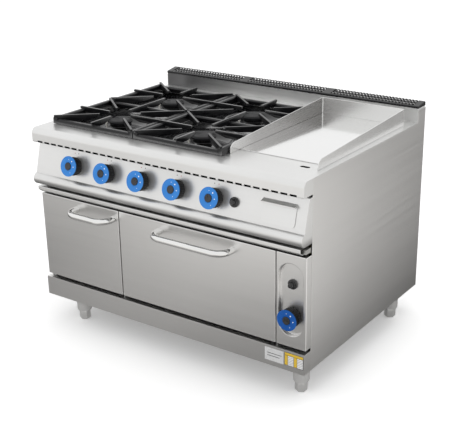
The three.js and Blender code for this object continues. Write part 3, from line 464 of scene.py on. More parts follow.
def stand_for(piece, node):
    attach(piece, nodes[node]["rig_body"])
    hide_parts(node)
    return piece


deck_low, deck_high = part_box("deck")
sheet = 0.002
nose_front, nose_bottom, deck_top = deck_low.y, deck_low.z, deck_high.z
nose_radius, nose_heel = 0.022, 0.004
nose_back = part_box("side_panel_right")[0].y - 0.0003


def nose_outline(inset):
    outer = nose_radius - inset
    heel = nose_heel - inset
    return [(nose_back, deck_top - inset)] \
        + arc(nose_front + nose_radius, deck_top - nose_radius, outer, 90, 180, 10) \
        + arc(nose_front + nose_heel, nose_bottom + nose_heel, heel, 180, 270, 4) \
        + [(nose_back, nose_bottom + inset)]


bm = bmesh.new()
drawn(bm, [(deck_high.y, deck_top)] + nose_outline(0) +
      [(nose_back, deck_top - sheet), (deck_high.y, deck_top - sheet)], deck_low.x, deck_high.x)
deck = closed_piece("top_sheet", bm, top_steel)
bm = bmesh.new()
inner_nose = nose_outline(sheet)
inner_nose[0] = (nose_back + 0.001, deck_top - sheet)
inner_nose[-1] = (nose_back + 0.001, nose_bottom + sheet)
drawn(bm, inner_nose, deck_low.x + sheet, deck_high.x - sheet)
shape_with(deck, bm)

bm = bmesh.new()
pan_lip = 0.012
for node in ("burner_pan_left", "burner_pan_right"):
    low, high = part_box(node)
    brick(bm, (low.x + pan_lip, low.y + pan_lip, deck_top - 0.02),
          (high.x - pan_lip, high.y - pan_lip, deck_top + 0.02))
plate_low, plate_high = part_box("griddle_plate")
plate_lip = 0.009
brick(bm, (plate_low.x + plate_lip, plate_low.y + plate_lip, deck_top - 0.02),
      (plate_high.x - plate_lip, plate_high.y - plate_lip, deck_top + 0.02))

guard_low, guard_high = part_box("griddle_splash_guard")
drawer_low, drawer_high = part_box("grease_drawer")
drain_centre = Vector(((drawer_low.x + drawer_high.x) / 2 + 0.023, guard_low.y + 0.014, deck_top))
drain_half, drain_radius = 0.010, 0.008
drain = [(drain_centre.x + u, drain_centre.y + v) for u, v in
         arc(drain_half, 0, drain_radius, -90, 90, 8) + arc(-drain_half, 0, drain_radius, 90, 270, 8)]
drain_face = bm.faces.new([bm.verts.new((x, y, deck_top - 0.02)) for x, y in drain])
drain_top = bmesh.ops.extrude_face_region(bm, geom=[drain_face])["geom"]
bmesh.ops.translate(bm, vec=(0, 0, 0.04),
                    verts=[part for part in drain_top if isinstance(part, bmesh.types.BMVert)])

slot_pitch, slot_length, slot_height, slot_margin = 0.035, 0.026, 0.0080, 0.020
deck_width = deck_high.x - deck_low.x
slot_count = int((deck_width - 2 * slot_margin + slot_pitch - slot_length) / slot_pitch)
first_slot = -((slot_count - 1) * slot_pitch + slot_length) / 2
for i in range(slot_count):
    left = first_slot + i * slot_pitch
    brick(bm, (left, nose_front - 0.001, nose_bottom - 0.001),
          (left + slot_length, nose_front + 0.012, nose_bottom + slot_height))
shape_with(deck, bm)
round_edges(deck, 0.0005, 2, 50)
stand_for(deck, "deck")

# ------------------------------------------------------------------ control panel
# Sloping fascia over a half-round nose, folded from one sheet and closed by welded ends.
# The opening on the right takes the grease drawer.

panel_low, panel_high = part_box("control_panel")
fascia_top_y = nose_front + 0.037
nose_tube = 0.0225
tube_y, tube_z = panel_low.y + nose_tube, panel_low.z + nose_tube
crease = 101


def panel_outline(inset):
    return [(nose_back, panel_high.z - inset), (fascia_top_y + inset, panel_high.z - inset)] \
        + arc(tube_y, tube_z, nose_tube - inset, crease, 270, 16) \
        + [(nose_back, panel_low.z + inset)]


bm = bmesh.new()
drawn(bm, panel_outline(0), panel_low.x, panel_high.x)
# The underside of the nose has a painted reflection of the dark gap below it: its colour darkens towards
# the bottom.
fascia_steel_painted_reflection = shaded_along(
    metal("fascia_steel_painted_reflection", (0.78, 0.78, 0.775), (0.72, 0.72, 0.71), 0.30, "x", 0.03, 0.85),
    "Z", [(panel_low.z, (0.30, 0.30, 0.30)), (panel_low.z + nose_tube * 0.7, (0.72, 0.72, 0.72)),
          (panel_low.z + nose_tube * 1.3, (1.0, 1.0, 1.0)), (panel_high.z, (1.0, 1.0, 1.0))])
panel = closed_piece("control_panel_sheet", bm, fascia_steel_painted_reflection)
bm = bmesh.new()
hollow = panel_outline(sheet)
hollow[0] = (nose_back + 0.001, hollow[0][1])
hollow[-1] = (nose_back + 0.001, hollow[-1][1])
drawn(bm, hollow, panel_low.x + sheet, panel_high.x - sheet)
shape_with(panel, bm)
bm = bmesh.new()
box_side, box_spare = 0.010, 0.002
fascia_bottom = panel_low.z + 2 * nose_tube
mouth_low, mouth_high = fascia_bottom + 0.018, fascia_bottom + 0.074
brick(bm, (drawer_low.x + box_side - box_spare, panel_low.y, mouth_low),
      (drawer_high.x - box_side + box_spare, nose_back - 0.001, mouth_high))
shape_with(panel, bm)
round_edges(panel, 0.0005, 2, 55)
stand_for(panel, "control_panel")

runner_foot, runner_height, runner_back = fascia_bottom + 0.014, 0.024, nose_back + 0.36
bm = bmesh.new()
for x, ledge in ((drawer_low.x + box_side - box_spare - sheet, 1),
                 (drawer_high.x - box_side + box_spare, -1)):
    brick(bm, (x, nose_back - 0.034, runner_foot),
          (x + sheet, runner_back, runner_foot + runner_height))
    side = (x + sheet, x + 0.010) if ledge > 0 else (x - 0.008, x)
    brick(bm, (side[0], nose_back - 0.03, runner_foot),
          (side[1], runner_back, runner_foot + 0.0015))
runners = closed_piece("grease_drawer_runners", bm, inner_steel)
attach(runners, body)

# ------------------------------------------------------------------ front bar
# A folded rail across the carcass, over the doors.

bar_low, bar_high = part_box("front_bar")
bar_end = bar_high.x - 0.016  # the right end stops short and is left open
bar_low.z += 0.0035


def bar_outline(inset):
    return [(nose_back, bar_high.z - inset)] \
        + arc(bar_low.y + 0.003, bar_high.z - 0.003, 0.003 - inset / 2, 90, 180, 4) \
        + [(bar_low.y + inset, bar_low.z + 0.010), (bar_low.y + 0.012 + inset, bar_low.z + inset),
           (nose_back, bar_low.z + inset)]


bm = bmesh.new()
drawn(bm, bar_outline(0), bar_low.x, bar_end)
front_bar = closed_piece("front_rail", bm, top_steel)
bm = bmesh.new()
hollow = bar_outline(sheet)
hollow[0] = (nose_back + 0.001, hollow[0][1])
hollow[-1] = (nose_back + 0.001, hollow[-1][1])
drawn(bm, hollow, bar_low.x + sheet, bar_end + sheet)
shape_with(front_bar, bm)
round_edges(front_bar, 0.0006, 2, 40)
stand_for(front_bar, "front_bar")

# ------------------------------------------------------------------ doors
# Pressed door skins: a shallow pan with tight bends, closed at the back by a flat liner.


def door_skin(node, name, bend=0.0028):
    low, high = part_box(node)
    bm = bmesh.new()
    brick(bm, low, high)
    back = [face for face in bm.faces if face.normal.y > 0.9]
    bmesh.ops.delete(bm, geom=back, context="FACES_ONLY")
    bends = [edge for edge in bm.edges if len(edge.link_faces) == 2]
    bmesh.ops.bevel(bm, geom=bends, offset=bend, segments=4, profile=0.5, affect="EDGES",
                    material=-1, offset_type="OFFSET")
    mesh = bpy.data.meshes.new(name)
    bm.to_mesh(mesh)
    bm.free()
    mesh.materials.append(front_steel)
    piece = link_piece(name, mesh)
    wall = piece.modifiers.new("sheet", "SOLIDIFY")
    wall.thickness = 0.0015
    wall.offset = -1
    settle(piece)
    return stand_for(piece, node)


door_skin("cabinet_door_skin", "cabinet_door_front")
door_skin("oven_door_skin", "oven_door_front")
softened("cabinet_door_liner", inner_steel, 0.0004)
softened("oven_door_liner", inner_steel, 0.0004)


def hung_handle(node, name):
    """A round bar bent through two quarter circles."""
    low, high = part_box(node)
    radius = (high.z - low.z) / 2
    bend = 0.045
    feet = (low.x + radius, high.x - radius)
    bm = bmesh.new()
    ring = bmesh.ops.create_circle(bm, cap_ends=False, radius=radius, segments=24)["verts"]
    bmesh.ops.rotate(bm, cent=(0, 0, 0), matrix=Matrix.Rotation(pi / 2, 3, "X"), verts=ring)
    bmesh.ops.translate(bm, vec=(feet[0], high.y, (low.z + high.z) / 2), verts=ring)
    rim = [edge for edge in bm.edges]

    def push(edges, vector):
        grown = bmesh.ops.extrude_edge_only(bm, edges=edges)["geom"]
        bmesh.ops.translate(bm, vec=vector, verts=[g for g in grown if isinstance(g, bmesh.types.BMVert)])
        return [g for g in grown if isinstance(g, bmesh.types.BMEdge)]

    def swing(edges, centre, angle):
        turned = bmesh.ops.spin(bm, geom=edges, cent=centre, axis=(0, 0, 1), angle=angle, steps=10,
                                use_duplicate=False)["geom_last"]
        return [g for g in turned if isinstance(g, bmesh.types.BMEdge)]

    reach = high.y - low.y - radius
    rim = push(rim, (0, -(reach - bend), 0))
    rim = swing(rim, (feet[0] + bend, high.y - reach + bend, 0), pi / 2)
    rim = push(rim, (feet[1] - feet[0] - 2 * bend, 0, 0))
    rim = swing(rim, (feet[1] - bend, high.y - reach + bend, 0), pi / 2)
    rim = push(rim, (0, reach - bend, 0))
    bmesh.ops.remove_doubles(bm, verts=bm.verts, dist=1e-6)
    bmesh.ops.holes_fill(bm, edges=bm.edges, sides=0)
    piece = closed_piece(name, bm, polished_steel)
    settle(piece, 50)
    return stand_for(piece, node)


hung_handle("cabinet_door_handle", "cabinet_handle_bar")
hung_handle("oven_door_handle", "oven_handle_bar")

# ------------------------------------------------------------------ oven control box
# A folded box beside the oven door, with a pressed oblong dish that holds the oven controls.

box_low, box_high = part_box("oven_control_box")
knob_low, knob_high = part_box("oven_knob")
dish_centre = (knob_low.x + knob_high.x) / 2
dish_bottom, dish_top = box_low.z + 0.043, box_high.z - 0.033
dish_half = (knob_high.x - knob_low.x) / 2 + 0.0095
dish_depth = 0.014


def stadium(bm, grow, front, back):
    half = dish_half + grow
    outline = arc(dish_centre, dish_top - dish_half, half, 0, 180, 20) \
        + arc(dish_centre, dish_bottom + dish_half, half, 180, 360, 20)
    face = bm.faces.new([bm.verts.new((x, front, z)) for x, z in outline])
    grown = bmesh.ops.extrude_face_region(bm, geom=[face])["geom"]
    bmesh.ops.translate(bm, vec=(0, back - front, 0),
                        verts=[g for g in grown if isinstance(g, bmesh.types.BMVert)])


bm = bmesh.new()
brick(bm, box_low, box_high)
control_box = closed_piece("oven_control_cover", bm, front_steel)
bm = bmesh.new()
stadium(bm, 0, box_low.y - 0.005, box_low.y + dish_depth)
shape_with(control_box, bm)
round_edges(control_box, 0.0026, 4, 50)
bm = bmesh.new()
brick(bm, (box_low.x + 0.0015, box_low.y + 0.0015, box_low.z + 0.0015),
      (box_high.x - 0.0015, box_high.y + 0.001, box_high.z - 0.0015))
back_hollow = closed_piece("back_hollow", bm, front_steel)
bm = bmesh.new()
stadium(bm, 0.0045, box_low.y - 0.005, box_low.y + dish_depth + 0.0015)
shape_with(back_hollow, bm)
bm = bmesh.new()
bm.from_mesh(back_hollow.data)
bpy.data.meshes.remove(back_hollow.data)
shape_with(control_box, bm)
stand_for(control_box, "oven_control_box")

# ------------------------------------------------------------------ grease drawer
# A folded tray that slides under the griddle drain. Its sloping front lies on the fascia, and
# the top edge curls out as a finger pull.

softened("grease_drawer", top_steel, 0.0005)

# ------------------------------------------------------------------ knobs
# Moulded black grips with fine flutes. A blue dial with white marks is pressed on the front,
# round a small dark boss. They stand on the spindles of the gas taps.


def coated(name, light, dark, roughness, grain=600.0, relief=0.12, metallic=0.0, coat=0.0,
           wear_and_sheen_tint=None, shine=0.5):
    """Paint, plastic, enamel or cast surface: fine grain, uneven tone and a colour on the edges: wear,
    and on the cast iron a painted highlight.
    """
    finish = bpy.data.materials.new(name)
    finish.use_nodes = True
    tree = finish.node_tree
    link = tree.links.new
    shader = tree.nodes["Principled BSDF"]
    shader.inputs["Metallic"].default_value = metallic
    shader.inputs["Coat Weight"].default_value = coat
    shader.inputs["Specular IOR Level"].default_value = shine
    shader.inputs["Coat Roughness"].default_value = 0.08
    place = add_node(tree, "ShaderNodeTexCoord")
    patch = add_node(tree, "ShaderNodeGroup", node_tree=wiped_patches)
    patch.inputs["Scale"].default_value = 22.0
    patch.inputs["Contrast"].default_value = 0.7
    tone = add_node(tree, "ShaderNodeMix", data_type="RGBA")
    tone.inputs["A"].default_value = (*dark, 1)
    tone.inputs["B"].default_value = (*light, 1)
    edge = add_node(tree, "ShaderNodeGroup", node_tree=edge_mask_wear_and_sheen)
    colour = add_node(tree, "ShaderNodeMix", data_type="RGBA")
    colour.inputs["B"].default_value = (*(wear_and_sheen_tint or light), 1)
    gloss = add_node(tree, "ShaderNodeMapRange")
    gloss.inputs["To Min"].default_value = roughness - 0.06
    gloss.inputs["To Max"].default_value = roughness + 0.08
    fine = add_node(tree, "ShaderNodeTexNoise", Scale=grain, Detail=3.0)
    bump = add_node(tree, "ShaderNodeBump", Strength=relief, Distance=0.0004)
    link(place.outputs["Object"], patch.inputs["Vector"])
    link(place.outputs["Object"], fine.inputs["Vector"])
    link(place.outputs["Object"], edge.inputs["Vector"])
    link(patch.outputs["Mask"], tone.inputs["Factor"])
    link(tone.outputs["Result"], colour.inputs["A"])
    link(edge.outputs["Mask"], colour.inputs["Factor"])
    link(colour.outputs["Result"], shader.inputs["Base Color"])
    link(patch.outputs["Mask"], gloss.inputs["Value"])
    link(gloss.outputs["Result"], shader.inputs["Roughness"])
    link(fine.outputs["Fac"], bump.inputs["Height"])
    link(bump.outputs["Normal"], shader.inputs["Normal"])
    return finish


def edge_mask_wear_and_sheen_group():
    """Mask of the outer edges of a piece, broken up by a fine noise."""
    group, given, result = shader_group(
        "edge_mask_wear_and_sheen",
        [("Vector", "NodeSocketVector", (0, 0, 0)), ("Reach", "NodeSocketFloat", 0.535)],
        [("Mask", "NodeSocketFloat")])
    surface = add_node(group, "ShaderNodeNewGeometry")
    rise = add_node(group, "ShaderNodeMapRange", clamp=True)
    rise.inputs["From Max"].default_value = 0.62
    broken = add_node(group, "ShaderNodeTexNoise", Scale=260.0, Detail=2.0)
    both = add_node(group, "ShaderNodeMath", operation="MULTIPLY")
    link = group.links.new
    link(surface.outputs["Pointiness"], rise.inputs["Value"])
    link(given.outputs["Reach"], rise.inputs["From Min"])
    link(given.outputs["Vector"], broken.inputs["Vector"])
    link(rise.outputs["Result"], both.inputs[0])
    link(broken.outputs["Fac"], both.inputs[1])
    link(both.outputs["Value"], result.inputs["Mask"])
    return group


edge_mask_wear_and_sheen = edge_mask_wear_and_sheen_group()
black_plastic = coated("black_plastic", (0.006, 0.006, 0.007), (0.003, 0.003, 0.004), 0.45,
                       900, 0.15, wear_and_sheen_tint=(0.03, 0.03, 0.032), shine=0.2)
dial_blue = coated("dial_blue", (0.026, 0.200, 0.58), (0.020, 0.175, 0.53), 0.42, 700, 0.06,
                   wear_and_sheen_tint=(0.08, 0.30, 0.68), shine=0.3)
deep_blue = coated("deep_blue", (0.001, 0.072, 0.31), (0.001, 0.060, 0.27), 0.45, 700, 0.06,
                   wear_and_sheen_tint=(0.02, 0.14, 0.45), shine=0.15)
boss_grey = coated("boss_grey", (0.060, 0.060, 0.062), (0.030, 0.030, 0.032), 0.28, 500, 0.05,
                   metallic=0.6, wear_and_sheen_tint=(0.14, 0.14, 0.145))
mark_white = coated("mark_white", (0.86, 0.87, 0.88), (0.72, 0.74, 0.76), 0.5, 800, 0.05)
mark_red = coated("mark_red", (0.66, 0.04, 0.04), (0.5, 0.03, 0.03), 0.5, 800, 0.05)

button_black = coated("button_black", (0.012, 0.012, 0.013), (0.006, 0.006, 0.007), 0.26, 900,
                      0.10, wear_and_sheen_tint=(0.07, 0.07, 0.072), shine=0.7)
joint_rows = {row["name"]: row for row in frame["record"]["behaviour"]["joints"]}


def spun(bm, profile, steps=48, material=0):
    """Turns a profile of radius and height about Z; ends on the axis close the shape."""
    before = set(bm.faces)
    verts = [bm.verts.new((radius, 0, height)) for radius, height in profile]
    edges = [bm.edges.new(pair) for pair in zip(verts, verts[1:])]
    bmesh.ops.spin(bm, geom=verts + edges, cent=(0, 0, 0), axis=(0, 0, 1), angle=2 * pi,
                   steps=steps, use_merge=True, use_duplicate=False)
    bmesh.ops.remove_doubles(bm, verts=bm.verts, dist=1e-6)
    for face in set(bm.faces) - before:
        face.material_index = material


def stood(bm, place, axis):
    """Moves a shape made on +Z so that it stands at a place, pointing along an axis."""
    turn_to = Vector((0, 0, 1)).rotation_difference(Vector(axis)).to_matrix()
    bmesh.ops.transform(bm, matrix=Matrix.Translation(place) @ turn_to.to_4x4(), verts=bm.verts)


def disc(bm, centre, radius, height, material):
    ring = bmesh.ops.create_circle(bm, cap_ends=True, radius=radius, segments=14)["verts"]
    face = ring[0].link_faces[0]
    grown = bmesh.ops.extrude_face_region(bm, geom=[face])["geom"]
    top = [part for part in grown if isinstance(part, bmesh.types.BMVert)]
    bmesh.ops.translate(bm, vec=(0, 0, height), verts=top)
    bmesh.ops.translate(bm, vec=centre, verts=ring + top)
    for vert in ring:
        for face in vert.link_faces:
            face.material_index = material
    for vert in top:
        for face in vert.link_faces:
            face.material_index = material


knob_radius, knob_depth = 0.038, 0.045
dial_back, dial_face = knob_depth - 0.0075, knob_depth - 0.003
flutes, flute_depth = 30, 0.0011


def knob_mesh(name, place, axis, dial):
    bm = bmesh.new()
    spun(bm, [(0.0, 0.0002), (0.006, 0.0002), (0.006, 0.003), (0.0325, 0.003), (0.0338, 0.0045),
              (0.0348, 0.012), (0.0345, 0.022), (0.0342, 0.032), (0.0338, dial_back),
              (0.0, dial_back)], 120)
    for vert in bm.verts:
        reach = hypot(vert.co.x, vert.co.y)
        if reach > 0.033 and 0.004 < vert.co.z < dial_back:
            ridge = 0.5 + 0.5 * cos(flutes * atan2(vert.co.y, vert.co.x))
            vert.co.xy *= 1 - flute_depth * ridge / reach
    spun(bm, [(0.0, dial_back + 0.0002), (knob_radius - 0.0012, dial_back + 0.0002),
              (knob_radius, dial_back + 0.0014), (knob_radius, dial_face - 0.0014),
              (knob_radius - 0.0007, dial_face - 0.0004), (knob_radius - 0.0019, dial_face),
              (0.0158, dial_face), (0.0151, dial_face - 0.0012), (0.0, dial_face - 0.0012)], 64, 1)
    spun(bm, [(0.0, dial_face - 0.0011), (0.0142, dial_face - 0.0011), (0.0142, dial_face + 0.0012),
              (0.0134, knob_depth - 0.0004), (0.0122, knob_depth), (0.0070, knob_depth - 0.0012),
              (0.0, knob_depth - 0.0018)], 40, 2)
    for angle, size in ((90, 0.0012), (52, 0.0024), (2, 0.0019), (-58, 0.0012)):
        reach = 0.0260
        disc(bm, (reach * cos(radians(angle)), reach * sin(radians(angle)), dial_face - 0.0001),
             size, 0.0004, 3)
    bmesh.ops.recalc_face_normals(bm, faces=bm.faces)
    stood(bm, place, axis)
    mesh = bpy.data.meshes.new(name)
    bm.to_mesh(mesh)
    bm.free()
    for paint in (black_plastic, dial, boss_grey, mark_white):
        mesh.materials.append(paint)
    return mesh


for node in [f"knob_{i}" for i in range(1, 6)] + ["oven_knob"]:
    row = joint_rows[node + "_turn"]
    dial = deep_blue if node == "oven_knob" else dial_blue
    piece = link_piece(node + "_grip_and_dial", knob_mesh(node, row["pos_m"], row["axis"], dial))
    settle(piece, 32)
    stand_for(piece, node)

# Two printed dots over each knob of the hob show which burner it feeds.
fascia_out = Vector(joint_rows["knob_1_turn"]["axis"])
fascia_up = Vector((0, fascia_out.z, -fascia_out.y))
dot_radius, dot_rise = 0.0016, 0.048
dots = bmesh.new()
for i in range(1, 6):
    at_knob = Vector(joint_rows[f"knob_{i}_turn"]["pos_m"])
    red, dark = (-0.010, 0.008) if i < 4 else (0.008, -0.010)
    for along, material in ((red, 0), (dark, 1)):
        one = bmesh.new()
        disc(one, (0, 0, -0.0001), dot_radius, 0.0003, material)
        stood(one, at_knob + Vector((along, 0, 0)) + fascia_up * dot_rise, fascia_out)
        scratch = bpy.data.meshes.new("dot")
        one.to_mesh(scratch)
        one.free()
        dots.from_mesh(scratch)
        bpy.data.meshes.remove(scratch)
dot_piece = closed_piece("burner_dots", dots, mark_red)
dot_piece.data.materials.append(black_plastic)
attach(dot_piece, body)

# ------------------------------------------------------------------ igniter buttons
# A black push button inside a stepped collar that is screwed to the panel.

hob_row, oven_row = joint_rows["knob_5_turn"], joint_rows["oven_knob_turn"]
for node, row in (("igniter_button_hob", hob_row), ("igniter_button_oven", oven_row)):
    low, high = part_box(node)
    place = Vector(row["pos_m"])
    place.x = (low.x + high.x) / 2
    if node == "igniter_button_oven":
        place.z = (low.z + high.z) / 2
    bm = bmesh.new()
    spun(bm, [(0.0, 0.0072), (0.0104, 0.0072), (0.0104, 0.0135), (0.0098, 0.0150),
              (0.0084, 0.0165), (0.0080, 0.0205), (0.0072, 0.0222), (0.0050, 0.0230),
              (0.0, 0.0228)], 40)
    bmesh.ops.recalc_face_normals(bm, faces=bm.faces)
    stood(bm, place, row["axis"])
    button = closed_piece(node + "_cap", bm, button_black)
    settle(button, 35)
    stand_for(button, node)
    bm = bmesh.new()
    spun(bm, [(0.0114, 0.0001), (0.0178, 0.0001), (0.0178, 0.0050), (0.0170, 0.0060),
              (0.0152, 0.0064), (0.0146, 0.0092), (0.0138, 0.0108), (0.0126, 0.0114),
              (0.0118, 0.0110), (0.0114, 0.0100), (0.0114, 0.0001)], 40)
    bmesh.ops.recalc_face_normals(bm, faces=bm.faces)
    stood(bm, place, row["axis"])
    collar = closed_piece(node + "_collar", bm, button_black)
    settle(collar, 35)
    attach(collar, body)

# ------------------------------------------------------------------ legs
# Four turned sleeves bolted under the tray, each with a hexagon foot on a screw.

leg_steel = metal("leg_steel", (0.74, 0.735, 0.725), (0.64, 0.635, 0.625), 0.30, "z", 0.03, 0.60)
for i in range(1, 5):
    low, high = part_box(f"leg_sleeve_{i}")
    flange = (high.x - low.x) / 2
    height = high.z - low.z
    bm = bmesh.new()
    spun(bm, [(0.0120, 0.0), (0.0250, 0.0), (0.0264, 0.0008), (0.0286, 0.0052), (0.0291, 0.0066),
              (0.0297, 0.0560), (0.0297, height - 0.0034), (0.0303, height - 0.0030),
              (flange - 0.0006, height - 0.0030), (flange, height - 0.0024), (flange, height),
              (0.0120, height), (0.0120, 0.0)], 48)
    bmesh.ops.recalc_face_normals(bm, faces=bm.faces)
    stood(bm, ((low.x + high.x) / 2, (low.y + high.y) / 2, low.z), (0, 0, 1))
    sleeve = closed_piece(f"leg_sleeve_{i}_turned", bm, leg_steel)
    settle(sleeve, 32)
    stand_for(sleeve, f"leg_sleeve_{i}")
    softened(f"leg_foot_{i}", leg_steel, 0.0009, 3)

# ------------------------------------------------------------------ burner pans
# Shallow black enamelled trays. Under each burner a round bowl with a raised rim is pressed
# into the floor, with a hole for the burner.

black_enamel = coated("black_enamel", (0.010, 0.010, 0.011), (0.005, 0.005, 0.006), 0.16, 260, 0.05,
                      coat=0.6, wear_and_sheen_tint=(0.03, 0.03, 0.032))
pan_sheet = 0.0015
bowl_radius = 0.112
for side in ("left", "right"):
    low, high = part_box(f"burner_pan_{side}")
    floor_z = low.z + 0.018 + 0.0008
    lip = pan_lip + 0.001
    rows = (1, 3) if side == "left" else (2, 4)
    bm = bmesh.new()
    bmesh.ops.create_grid(bm, x_segments=1, y_segments=1, size=0.5)
    bmesh.ops.scale(bm, vec=(high.x - low.x, high.y - low.y, 1), verts=bm.verts)
    bmesh.ops.translate(bm, vec=((low.x + high.x) / 2, (low.y + high.y) / 2, high.z - pan_sheet / 2),
                        verts=bm.verts)
    bmesh.ops.inset_region(bm, faces=bm.faces[:], thickness=lip)
    middle = max(bm.faces, key=lambda face: face.calc_area())
    sunk = bmesh.ops.extrude_face_region(bm, geom=[middle])["geom"]
    if middle.is_valid:
        bmesh.ops.delete(bm, geom=[middle], context="FACES_ONLY")
    sunk_verts = [part for part in sunk if isinstance(part, bmesh.types.BMVert)]
    for vert in sunk_verts:
        vert.co.z = floor_z
    upright_edges = [edge for edge in bm.edges
                     if abs(edge.verts[0].co.z - edge.verts[1].co.z) > 0.01]
    bmesh.ops.bevel(bm, geom=upright_edges, offset=0.012, segments=5, profile=0.5, affect="EDGES",
                    material=-1)
    tray = closed_piece(f"burner_pan_{side}_tray", bm, black_enamel)
    wall = tray.modifiers.new("sheet", "SOLIDIFY")
    wall.thickness = pan_sheet
    wall.offset = 0
    settle(tray)
    holes = bmesh.new()
    for i in rows:
        burner_low, burner_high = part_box(f"burner_body_{i}")
        made = bmesh.ops.create_cone(holes, cap_ends=True, radius1=bowl_radius - 0.001,
                                     radius2=bowl_radius - 0.001, depth=0.02, segments=64)["verts"]
        bmesh.ops.translate(holes, vec=((burner_low.x + burner_high.x) / 2,
                                        (burner_low.y + burner_high.y) / 2, floor_z), verts=made)
    shape_with(tray, holes)
    round_edges(tray, 0.0006, 2, 50)
    stand_for(tray, f"burner_pan_{side}")
    for i in rows:
        burner_low, burner_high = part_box(f"burner_body_{i}")
        bm = bmesh.new()
        base = low.z - floor_z
        hole = 0.0302
        spun(bm, [(hole, base), (0.080, base), (0.086, base + 0.0010), (0.092, base + 0.0030),
                  (0.1010, base + 0.0085), (0.1080, base + 0.0150), (0.1110, -0.0006),
                  (0.1185, -0.0006), (0.1182, 0.0016), (0.1165, 0.0044), (0.1140, 0.0054),
                  (0.1115, 0.0050), (0.1085, 0.0028), (0.1000, base + 0.0106),
                  (0.0910, base + 0.0048), (0.0850, base + 0.0028), (0.0790, base + pan_sheet),
                  (hole, base + pan_sheet), (hole, base)], 72)
        bmesh.ops.recalc_face_normals(bm, faces=bm.faces)
        stood(bm, ((burner_low.x + burner_high.x) / 2, (burner_low.y + burner_high.y) / 2, floor_z),
              (0, 0, 1))
        bowl = closed_piece(f"burner_bowl_{i}", bm, black_enamel)
        settle(bowl, 30)
        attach(bowl, body)

# ------------------------------------------------------------------ painted shade behind the slots
# A black strip inside the nose of the top, a few millimetres behind the cooling slots, with a tongue into
# each slot. It is painted shade that makes the slots look dark.

bm = bmesh.new()
shade_block_gap = 0.0006
brick(bm, (deck_low.x + sheet + shade_block_gap, nose_front + sheet + shade_block_gap,
           nose_bottom + sheet + shade_block_gap),
      (deck_high.x - sheet - shade_block_gap, nose_front + 0.020, nose_bottom + 0.013))
for i in range(slot_count):
    left = first_slot + i * slot_pitch + shade_block_gap
    brick(bm, (left, nose_front + sheet + shade_block_gap, nose_bottom + 0.0003),
          (left + slot_length - 2 * shade_block_gap, nose_front + 0.0114, nose_bottom + 0.008))
# This black is painted shade, put in the hollows behind the slots, the door gaps and the vents.
painted_shade_black = coated("painted_shade_black", (0.004, 0.004, 0.004), (0.002, 0.002, 0.002), 0.85, 300, 0.4,
                    wear_and_sheen_tint=(0.010, 0.010, 0.010), shine=0.05)
slot_shade_block = closed_piece("slot_painted_shade", bm, painted_shade_black)
settle(slot_shade_block)
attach(slot_shade_block, body)

# ------------------------------------------------------------------ painted shade in the door gaps
# Black strips under the front rail and on the posts behind the door gaps are painted shade: they make the
# gaps look dark. A steel tongue on the right post carries the open end of the rail.

bm = bmesh.new()
brick(bm, (bar_low.x + 0.003, bar_low.y + 0.013, bar_low.z - 0.0012),
      (bar_end, nose_back - 0.0004, bar_low.z - 0.0002))
rail_shade_faces = set(bm.faces)
brick(bm, (bar_end - 0.004, bar_low.y + 0.016, bar_low.z + 0.003),
      (bar_high.x - 0.004, nose_back - 0.0004, bar_high.z - 0.0045))
for face in set(bm.faces) - rail_shade_faces:
    face.material_index = 1
oven_door_low, oven_door_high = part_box("oven_door_skin")
half_door_gap = 0.00175
for gap_middle in (oven_door_low.x - half_door_gap, oven_door_high.x + half_door_gap):
    brick(bm, (gap_middle - 0.006, nose_back - 0.0018, oven_door_low.z + 0.002),
          (gap_middle + 0.006, nose_back - 0.0004, oven_door_high.z - 0.002))
brick(bm, (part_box("cabinet_door_skin")[0].x + 0.004, nose_back - 0.0018, oven_door_low.z - 0.0105),
      (box_high.x - 0.004, nose_back - 0.0004, oven_door_low.z + 0.0015))
gap_shade_strips = closed_piece("door_gap_shade_strips", bm, painted_shade_black)
gap_shade_strips.data.materials.append(inner_steel)
settle(gap_shade_strips)
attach(gap_shade_strips, body)
